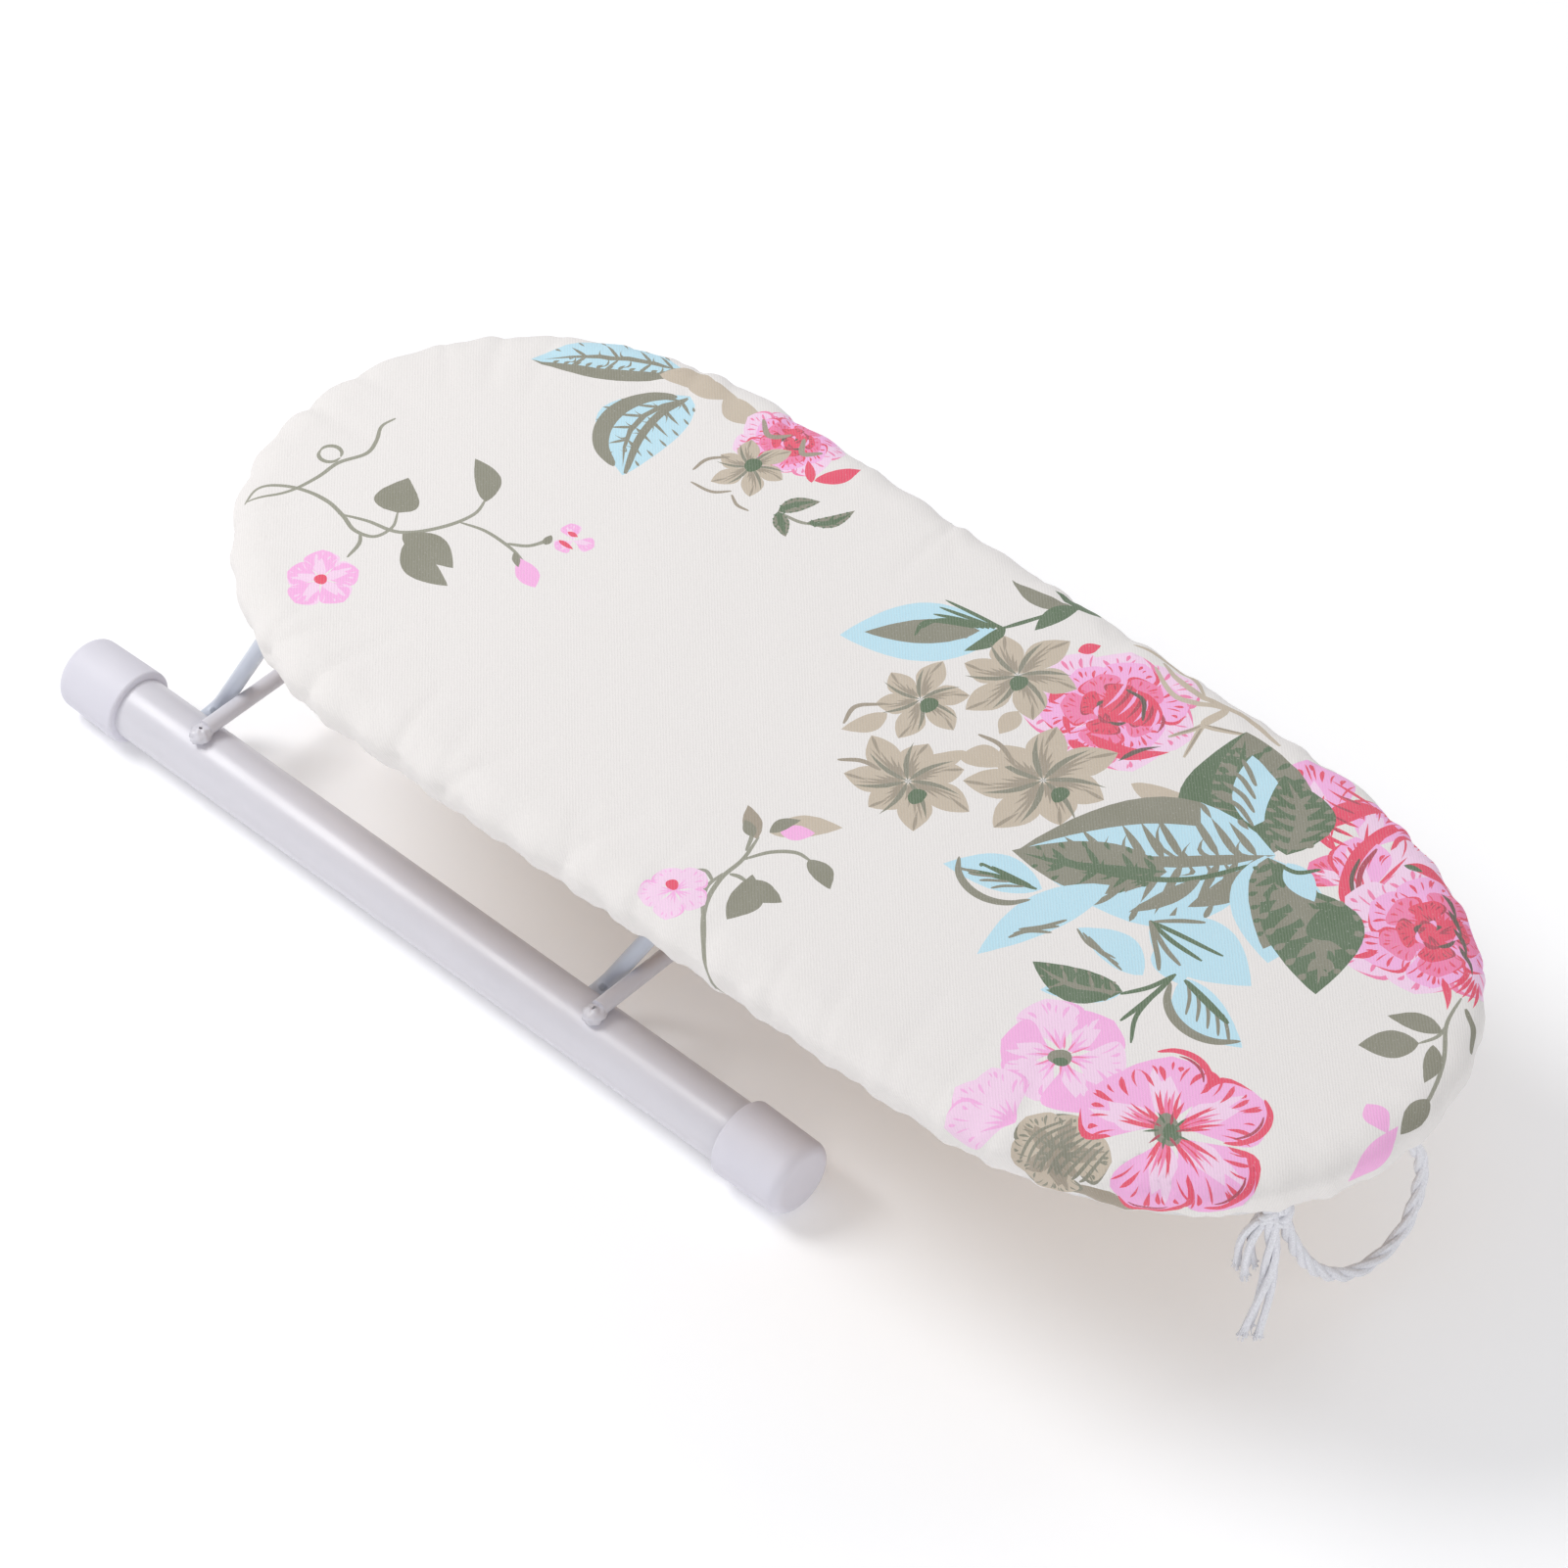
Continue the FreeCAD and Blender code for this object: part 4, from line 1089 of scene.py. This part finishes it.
def route_line(name, route, step=0.5):
    """Even points in millimetres along the smooth curve that a route's points control."""
    curve = bpy.data.curves.new(name, "CURVE")
    curve.dimensions = "3D"
    curve.resolution_u = 24
    spline = curve.splines.new("NURBS")
    spline.points.add(len(route) - 1)
    for point, place in zip(spline.points, route):
        point.co = (*place, 1.0)
    spline.order_u = 3
    spline.use_endpoint_u = True
    item = bpy.data.objects.new(name, curve)
    link(item)
    bpy.context.view_layer.update()
    mesh = bpy.data.meshes.new_from_object(item)
    line = np.array([vertex.co for vertex in mesh.vertices]) / MM
    bpy.data.objects.remove(item)
    bpy.data.meshes.remove(mesh)
    return evened(line, step)


def evened(line, step):
    walked = distances(line)
    count = max(int(round(walked[-1] / step)), 8)
    even = np.linspace(0, walked[-1], count + 1)
    return np.stack([np.interp(even, walked, line[:, k]) for k in range(3)], 1)


def carried_frames(line, closed=False):
    """Two directions square to a line at each point, carried along it without twist."""
    if closed:
        along = unit(np.roll(line, -1, 0) - np.roll(line, 1, 0))
    else:
        along = unit(np.gradient(line, axis=0))
    first = np.cross(along[0], (0.3, 0.2, 0.93))
    firsts = [first / np.linalg.norm(first)]
    for direction in along[1:]:
        carried = firsts[-1] - direction * (firsts[-1] @ direction)
        firsts.append(carried / np.linalg.norm(carried))
    firsts = np.array(firsts)
    return firsts, np.cross(along, firsts)


def strand_lines(line, radius, lay, closed=False, opening=1.0):
    """The middles of a rope's three strands. An opening above 1 lets them untwist and
    spread towards the line's end. Also gives the strands' turn at each point."""
    firsts, seconds = carried_frames(line, closed)
    walked = distances(line)
    turns = walked / lay * math.tau
    spread = np.ones(len(line))
    if closed:
        total = walked[-1] + np.linalg.norm(line[0] - line[-1])
        turns = walked / total * math.tau * round(total / lay)
        last_along = unit(line[0] - line[-1])
        end = firsts[-1] - last_along * (firsts[-1] @ last_along)
        slip = math.atan2(end @ seconds[0], end @ firsts[0])
        turns = turns - walked / total * slip
    elif opening > 1:
        share = walked / walked[-1]
        turns = turns * (1 - 0.5 * share)
        spread = 1 + (opening - 1) * share**1.7
    strands = []
    for k in range(3):
        turn = (turns + k * math.tau / 3)[:, None]
        way = np.cos(turn) * firsts + np.sin(turn) * seconds
        strands.append(line + radius * 0.5 * spread[:, None] * way)
    return strands, turns


def rope_mesh(name, line, radius, lay=ROPE_LAY, sides=28, closed=False, opening=1.0):
    """Three twisted strands, each ribbed by its own yarns."""
    strands, turns = strand_lines(line, radius, lay, closed, opening)
    points, faces = [], []
    for k, strand in enumerate(strands):
        firsts, seconds = carried_frames(strand, closed)
        start = len(points)
        for number, place in enumerate(strand):
            for side in range(sides):
                angle = side * math.tau / sides
                rib = 1 + 0.075 * math.cos(7 * (angle + 0.25 * turns[number]))
                fuzz = 1 + 0.07 * wobble(number * 0.45, side * 0.4 + 9 * k, 1.7, radius)
                reach = radius * 0.5 * rib * fuzz
                way = math.cos(angle) * firsts[number] + math.sin(angle) * seconds[number]
                points.append(place + reach * way)
        faces += grid_faces(len(line), sides, wrap_rows=closed, start=start)
        if not closed:
            faces += end_faces(len(line), sides, start)
    return new_object(name, points, faces)


def tube_points(line, radius, sides, points, faces):
    """Adds one thin yarn."""
    firsts, seconds = carried_frames(line)
    start = len(points)
    shrink = np.linspace(1, 0.8, len(line))
    for number, place in enumerate(line):
        for side in range(sides):
            angle = side * math.tau / sides
            way = math.cos(angle) * firsts[number] + math.sin(angle) * seconds[number]
            points.append(place + radius * shrink[number] * way)
    faces += grid_faces(len(line), sides, start=start) + end_faces(len(line), sides, start)


def frayed_end(name, line, opening, seed):
    """The cord's cut end: the yarns of each opened strand stand a little apart."""
    draw = random.Random(seed)
    strands, _ = strand_lines(line, ROPE_RADIUS, ROPE_LAY, opening=opening)
    points, faces = [], []
    for strand in strands:
        firsts, seconds = carried_frames(strand)
        away = unit(strand[-1] - strand[-5])
        for _ in range(26):
            angle = draw.uniform(0, math.tau)
            share = math.sqrt(draw.uniform(0.15, 1)) * ROPE_RADIUS * 0.5
            side = math.cos(angle) * firsts[-1] + math.sin(angle) * seconds[-1]
            reach = draw.uniform(0.8, 2.8)
            lean = draw.uniform(0.0, 0.9)
            first = len(strand) - draw.randint(9, 13)
            yarn = [
                strand[at] + side * share * (0.8 + 0.5 * (at - first) / 13)
                for at in range(first, len(strand))
            ]
            yarn += [yarn[-1] + away * reach * step + side * lean * step**2 for step in (0.35, 0.7, 1.0)]
            tube_points(np.array(yarn), draw.uniform(0.17, 0.27), 6, points, faces)
    return new_object(name, points, faces)


def knot_line():
    turns = np.linspace(0, math.tau, 150, endpoint=False)
    shape = np.stack([
        (np.sin(turns) + 2 * np.sin(2 * turns)) / 3,
        (np.cos(turns) - 2 * np.cos(2 * turns)) / 3,
        -np.sin(3 * turns),
    ], 1)
    return KNOT_CENTRE + shape * (KNOT_RADII - KNOT_INSET)


# ---------------------------------------------------------------- materials

class Material:
    """A Principled material and short ways to add its nodes."""

    def __init__(self, name, **sockets):
        self.material = bpy.data.materials.new(name)
        self.material.use_nodes = True
        self.nodes = self.material.node_tree.nodes
        self.links = self.material.node_tree.links
        self.shader = self.nodes["Principled BSDF"]
        self.place = self.node("ShaderNodeTexCoord").outputs["Object"]
        for socket, value in sockets.items():
            self.shader.inputs[socket.replace("_", " ")].default_value = value

    def node(self, kind, links=None, **values):
        node = self.nodes.new(kind)
        for key, value in values.items():
            if hasattr(node, key):
                setattr(node, key, value)
            else:
                node.inputs[key.replace("_", " ")].default_value = value
        for key, output in (links or {}).items():
            self.links.new(output, node.inputs[key])
        return node

    def noise(self, scale, detail=3.0, rough=0.55, place=None, stretch=None):
        place = place or self.place
        if stretch:
            place = self.node("ShaderNodeMapping", {"Vector": place}, Scale=stretch).outputs[0]
        node = self.node("ShaderNodeTexNoise", {"Vector": place}, Scale=scale, Detail=detail, Roughness=rough)
        return node.outputs["Fac"]

    def wave(self, scale, direction, place, distortion=0.0):
        node = self.node("ShaderNodeTexWave", {"Vector": place}, bands_direction=direction, Scale=scale,
                         Distortion=distortion)
        node.inputs["Detail"].default_value = 1.0
        return node.outputs["Fac"]

    def math(self, operation, first, second):
        node = self.node("ShaderNodeMath", operation=operation)
        for socket, value in zip(node.inputs, (first, second)):
            if isinstance(value, (int, float)):
                socket.default_value = value
            else:
                self.links.new(value, socket)
        return node.outputs[0]

    def ramp(self, factor, *stops):
        node = self.node("ShaderNodeValToRGB", {"Fac": factor})
        elements = node.color_ramp.elements
        while len(elements) < len(stops):
            elements.new(0.5)
        for element, (position, value) in zip(elements, stops):
            element.position = position
            element.color = value if isinstance(value, tuple) else (value, value, value, 1.0)
        return node.outputs["Color"]

    def mix(self, factor, first, second, blend_type="MIX"):
        node = self.node("ShaderNodeMix", data_type="RGBA", blend_type=blend_type)
        for socket, value in zip((node.inputs[0], node.inputs[6], node.inputs[7]), (factor, first, second)):
            if isinstance(value, (int, float, tuple)):
                socket.default_value = value
            else:
                self.links.new(value, socket)
        return node.outputs[2]

    def base(self, value):
        self.links.new(value, self.shader.inputs["Base Color"])

    def roughness(self, value):
        self.links.new(value, self.shader.inputs["Roughness"])

    def bump(self, height, distance, strength=1.0, under=None):
        node = self.node("ShaderNodeBump", {"Height": height}, Distance=distance, Strength=strength)
        if under:
            self.links.new(under, node.inputs["Normal"])
        self.links.new(node.outputs["Normal"], self.shader.inputs["Normal"])
        return node.outputs["Normal"]


def printed_cotton():
    """Twill cotton; the ink sits on the threads and thins in the gaps between them."""
    m = Material("printed_cotton", Roughness=0.88, Sheen_Weight=0.08, Sheen_Roughness=0.45)
    place = m.node("ShaderNodeUVMap", uv_map="cloth").outputs[0]
    ink = m.node("ShaderNodeAttribute", attribute_name="print").outputs["Color"]
    bands = 0.31416 / (THREAD / 100)
    twill = m.wave(bands, "DIAGONAL", place, 1.6)
    knots = m.noise(240.0, 2.0, 0.5, place)
    weave = m.math("ADD", m.math("MULTIPLY", twill, 0.55), m.math("MULTIPLY", knots, 0.45))
    slub = m.noise(60.0, 4.0, 0.6, place, (1.0, 5.0, 1.0))
    water = m.noise(9.0, 4.0, 0.6, place)
    flecks = m.ramp(m.noise(170.0, 2.0, 0.6, place), (0.58, 0.0), (0.72, 0.42))
    thin = m.math("MULTIPLY", m.math("SUBTRACT", 1.0, weave), 0.16)
    thin = m.math("ADD", thin, m.math("MULTIPLY", water, 0.10))
    thin = m.math("MAXIMUM", thin, flecks)
    printed = m.mix(thin, ink, CREAM)
    shade = m.ramp(m.math("ADD", m.math("MULTIPLY", weave, 0.6), m.math("MULTIPLY", slub, 0.4)),
                   (0.15, 0.91), (0.75, 1.0))
    m.base(m.mix(1.0, printed, shade, "MULTIPLY"))
    threads = m.bump(weave, 0.00016, 0.6)
    m.bump(slub, 0.00022, 0.5, threads)
    return m.material


def plain_cotton(name, tint, scale=1.0):
    """White cotton tape or cord with fine yarns."""
    m = Material(name, Roughness=0.86, Sheen_Weight=0.25, Sheen_Roughness=0.4)
    fibres = m.noise(2600.0 * scale, 3.0, 0.6)
    patches = m.noise(220.0 * scale, 2.0, 0.5)
    patchy = m.mix(patches, tint, shaded(tint, 1.05))
    m.base(m.mix(m.ramp(fibres, (0.3, 0.0), (0.72, 1.0)), shaded(tint, 0.80), patchy))
    m.bump(fibres, 0.00018, 0.7)
    return m.material


def powder_coat(name, tint, streaked=False):
    """White-lavender powder coat with a fine orange peel; on the legs a speckled streak of
    dark bluish grey runs along the side that faces one fixed direction, strongest near the feet."""
    m = Material(name, Metallic=0.0, Coat_Weight=0.18, Coat_Roughness=0.25)
    peel = m.noise(620.0, 2.0, 0.5)
    cloudy = m.noise(38.0, 3.0, 0.6)
    finish = m.mix(cloudy, shaded(tint, 0.93), tint)
    rough = m.ramp(cloudy, (0.3, 0.30), (0.7, 0.42))
    if streaked:
        # A dark speckled streak on the side that faces one fixed direction, darker towards the bottom.
        height = m.node("ShaderNodeSeparateXYZ", {"Vector": m.place}).outputs["Z"]
        low = m.node("ShaderNodeMapRange", {"Value": height}, From_Min=0.058, From_Max=0.020).outputs[0]
        normal = m.node("ShaderNodeTexCoord").outputs["Normal"]
        facing = m.node("ShaderNodeVectorMath", {0: normal}, operation="DOT_PRODUCT")
        facing.inputs[1].default_value = (0.48, -0.62, 0.62)
        band = m.ramp(facing.outputs["Value"], (0.74, 0.0), (0.95, 1.0))
        specks = m.noise(900.0, 4.0, 0.75)
        amount = m.math("MULTIPLY", m.math("MULTIPLY", band, low), specks)
        # How strongly the dark speckled streak shows.
        bare = m.ramp(amount, (0.26, 0.0), (0.50, 0.6))
        finish = m.mix(bare, finish, colour(112, 120, 134))
        rough = m.mix(bare, rough, (0.6, 0.6, 0.6, 1.0))
    m.base(finish)
    m.roughness(rough)
    m.bump(peel, 0.00009, 0.35)
    return m.material


def cap_plastic():
    m = Material("cap_plastic", Specular_IOR_Level=0.4)
    grain = m.noise(1500.0, 3.0, 0.6)
    cloudy = m.noise(45.0, 3.0, 0.6)
    m.base(m.mix(cloudy, colour(214, 212, 222), colour(224, 222, 230)))
    m.roughness(m.ramp(grain, (0.3, 0.46), (0.7, 0.6)))
    m.bump(grain, 0.00007, 0.4)
    return m.material


def panel_board():
    """Pressed wood-fibre board."""
    m = Material("panel_board", Roughness=0.82)
    fibres = m.noise(420.0, 5.0, 0.7, stretch=(0.35, 1.0, 1.0))
    flakes = m.noise(95.0, 4.0, 0.6)
    wood = m.mix(flakes, colour(176, 142, 104), colour(202, 172, 134))
    m.base(m.mix(m.ramp(fibres, (0.35, 0.0), (0.65, 0.5)), wood, colour(134, 102, 70)))
    m.bump(fibres, 0.00025, 0.5)
    return m.material


def zinc_sheet():
    m = Material("zinc_sheet", Metallic=1.0)
    spangle = m.node("ShaderNodeTexVoronoi", {"Vector": m.place}, Scale=420.0).outputs["Distance"]
    brushed = m.noise(900.0, 3.0, 0.6, stretch=(1.0, 0.12, 1.0))
    m.base(m.mix(spangle, colour(196, 200, 206), colour(168, 172, 180)))
    m.roughness(m.ramp(brushed, (0.3, 0.24), (0.7, 0.42)))
    m.bump(brushed, 0.00004, 0.4)
    return m.material


def foam():
    m = Material("foam", Roughness=0.95, Subsurface_Weight=0.15)
    pores = m.node("ShaderNodeTexVoronoi", {"Vector": m.place}, Scale=900.0).outputs["Distance"]
    m.base(m.mix(pores, colour(196, 178, 120), colour(236, 222, 172)))
    m.bump(pores, 0.0004, 0.8)
    return m.material


# ---------------------------------------------------------------- build

coated = powder_coat("coated_steel", colour(217, 215, 222))
coated_leg = powder_coat("coated_leg", colour(203, 209, 221), streaked=True)
CAD_FINISHES = {
    "foot_tube": coated,
    "cross_rod": coated,
    "leg": coated_leg,
    "foot_cap": cap_plastic(),
    "board_panel": panel_board(),
    "clip": zinc_sheet(),
}


def finish_cad_nodes():
    for name, node in frame["nodes"].items():
        for start, material in CAD_FINISHES.items():
            if name.startswith(start):
                node.data.materials.clear()
                node.data.materials.append(material)


def weld_beads():
    for number, name in enumerate(sorted(n for n in frame["nodes"] if n.startswith("weld_"))):
        low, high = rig.box(name)
        centre = np.array((low + high) / 2) / MM
        centre += (0, math.copysign(WELD_SHIFT[0], centre[1]), WELD_SHIFT[1])
        points = []
        rows, columns = 22, 34
        for row in range(1, rows):
            fall = row * math.pi / rows
            for column in range(columns):
                turn = column * math.tau / columns
                level = math.sin(fall)
                way = np.array((level * math.cos(turn), level * math.sin(turn), math.cos(fall)))
                lump = 1 + 0.20 * noise.noise(Vector(way * 2.1) + Vector((number * 3.7, 0, 0)))
                lump += 0.08 * noise.noise(Vector(way * 5.3) + Vector((0, number * 2.9, 0)))
                points.append(centre + np.array(WELD_HALF) * way * lump)
        faces = grid_faces(rows - 1, columns)
        faces.append(list(range(columns)))
        faces.append([(rows - 2) * columns + column for column in range(columns)][::-1])
        finish_piece(new_object(name + "_bead", points, faces), coated, "base", "coated_steel", name)


def cover_and_pad():
    cotton = printed_cotton()
    tape = plain_cotton("hem_tape", colour(232, 230, 230))
    cover = finish_piece(cloth_mesh(), cotton, "board", "printed_cotton", "cover")
    hem = finish_piece(around_board("gathered_hem", hem_section), tape, "board", "hem_tape", "hem_channel")
    pad = finish_piece(foam_pad(), foam(), "board", "foam", "foam_pad")
    extra = 2 * (CLOTH_REACH - TOP_ROUND)
    width = 2 * BOARD_HALF_WIDTH + extra
    length = NOSE_TIP - HEEL_TIP + extra
    edge = RING + RING_OUT * (CLOTH_REACH - TOP_ROUND)
    after = np.roll(edge, -1, 0)
    area = abs((edge[:, 0] * after[:, 1] - after[:, 0] * edge[:, 1]).sum()) / 2
    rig.sheet(cover, flat=(width * MM, length * MM), held="stretched", rests_on=[pad.name],
             area=area * MM**2, with_pieces=[hem])
    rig.padded(pad, fill=0.9)


def hanging_cord(name, node, route, far_end, cotton, with_pieces=()):
    line = route_line(name, route)
    opening = TAIL_OPENING if far_end == "bare" else 1.0
    mesh = rope_mesh(name, line, ROPE_RADIUS, opening=opening)
    rope = finish_piece(mesh, cotton, "board", "cotton_cord", node)
    walked = np.linalg.norm(np.diff(line, axis=0), axis=1).sum() * MM
    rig.cord(rope, exit=route[0], length=walked, diameter=2 * CORD_RADIUS * MM, far_end=far_end,
            stiffness="limp", lay="hanging", path=line * MM, with_pieces=with_pieces)
    return rope


def drawstring():
    cotton = plain_cotton("cotton_cord", colour(238, 238, 243), 0.8)
    hidden = np.array([(*(place - out * HEM_INSET), HEM_HEIGHT) for place, out in zip(RING, RING_OUT)])
    inner_rope = rope_mesh("rope_in_hem", hidden, HEM_ROPE_RADIUS, sides=9, closed=True)
    finish_piece(inner_rope, cotton, "board", "cotton_cord", "drawstring_in_hem")
    knot_path = evened(np.vstack([knot_line(), knot_line()[:1]]), 0.5)[:-1]
    knot_rope = rope_mesh("rope_knot", knot_path, CORD_RADIUS, lay=KNOT_LAY, closed=True)
    knot = finish_piece(knot_rope, cotton, "board", "cotton_cord", "drawstring_knot")
    frays = []
    for name, route, seed in (
        ("long_tail_fray", LONG_TAIL_ROUTE, SEED),
        ("short_tail_fray", SHORT_TAIL_ROUTE, SEED + 1),
    ):
        piece = frayed_end(name, route_line(name + "_line", route), TAIL_OPENING, seed)
        frays.append(finish_piece(piece, cotton, "board", "cotton_cord"))
    cords = [
        hanging_cord("rope_loop", "drawstring_loop", LOOP_ROUTE, "knot", cotton, [knot]),
        hanging_cord("rope_tail_long", "drawstring_tail_long", LONG_TAIL_ROUTE, "bare", cotton, frays[:1]),
        hanging_cord("rope_tail_short", "drawstring_tail_short", SHORT_TAIL_ROUTE, "bare", cotton, frays[1:]),
    ]
    for piece in cords + frays:
        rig.squash(piece, "fold", axis=(0, 0, 1), anchor=(0.2, 0, 0.071), keep=0.42)


# ---------------------------------------------------------------- camera and light

CAMERA_TARGET = (0.0086, -0.0147, 0.0779)
CAMERA_AZIMUTH = math.radians(43.04)
CAMERA_ELEVATION = math.radians(45.98)
CAMERA_DISTANCE = 1.5542
CAMERA_LENS = 132.15


def camera():
    lens = bpy.data.cameras.new("camera")
    lens.lens = CAMERA_LENS
    lens.sensor_width = 36.0
    item = bpy.data.objects.new("camera", lens)
    back = Vector((
        math.sin(CAMERA_AZIMUTH) * math.cos(CAMERA_ELEVATION),
        -math.cos(CAMERA_AZIMUTH) * math.cos(CAMERA_ELEVATION),
        math.sin(CAMERA_ELEVATION),
    ))
    item.location = Vector(CAMERA_TARGET) + back * CAMERA_DISTANCE
    item.rotation_euler = (math.pi / 2 - CAMERA_ELEVATION, 0, CAMERA_AZIMUTH)
    link(item)
    bpy.context.scene.camera = item


def softbox(name, place, size, power, aim=(0.0, 0.0, 0.05)):
    lamp = bpy.data.lights.new(name, "AREA")
    lamp.shape = "DISK"
    lamp.size = size
    lamp.energy = power
    item = bpy.data.objects.new(name, lamp)
    item.location = place
    item.rotation_euler = (Vector(aim) - Vector(place)).to_track_quat("-Z", "Y").to_euler()
    link(item)


def studio():
    softbox("key", (-0.85, -0.35, 1.1), 0.7, 10.2)
    softbox("fill", (1.2, -0.9, 0.9), 1.4, 7.0)
    softbox("rim", (0.3, 1.3, 1.0), 1.2, 4.0)
    world = bpy.data.worlds.new("studio")
    world.use_nodes = True
    world.node_tree.nodes["Background"].inputs["Color"].default_value = (0.96, 0.97, 1.0, 1.0)
    world.node_tree.nodes["Background"].inputs["Strength"].default_value = 0.47
    bpy.context.scene.world = world
    bpy.context.scene.view_settings.view_transform = "Standard"
    corners = [(x * FLOOR_HALF, y * FLOOR_HALF, 0) for x, y in ((-1, -1), (1, -1), (1, 1), (-1, 1))]
    floor = new_object("floor", corners, [(0, 1, 2, 3)], smooth=False)
    white = (1.0, 1.0, 1.0, 1.0)
    paint = Material("floor_paint", Roughness=0.9, Emission_Color=white, Emission_Strength=0.14)
    grain = paint.noise(6.0, 2.0)
    paint.base(paint.mix(grain, colour(246, 246, 247), colour(250, 250, 251)))
    floor.data.materials.append(paint.material)
    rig.stage(floor)


finish_cad_nodes()
weld_beads()
cover_and_pad()
drawstring()
camera()
studio()

visual_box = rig.bounds()
with open("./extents.json", "w") as size_file:
    json.dump({"cad": [list(corner) for corner in cad_box], "visual": [list(corner) for corner in visual_box]}, size_file)
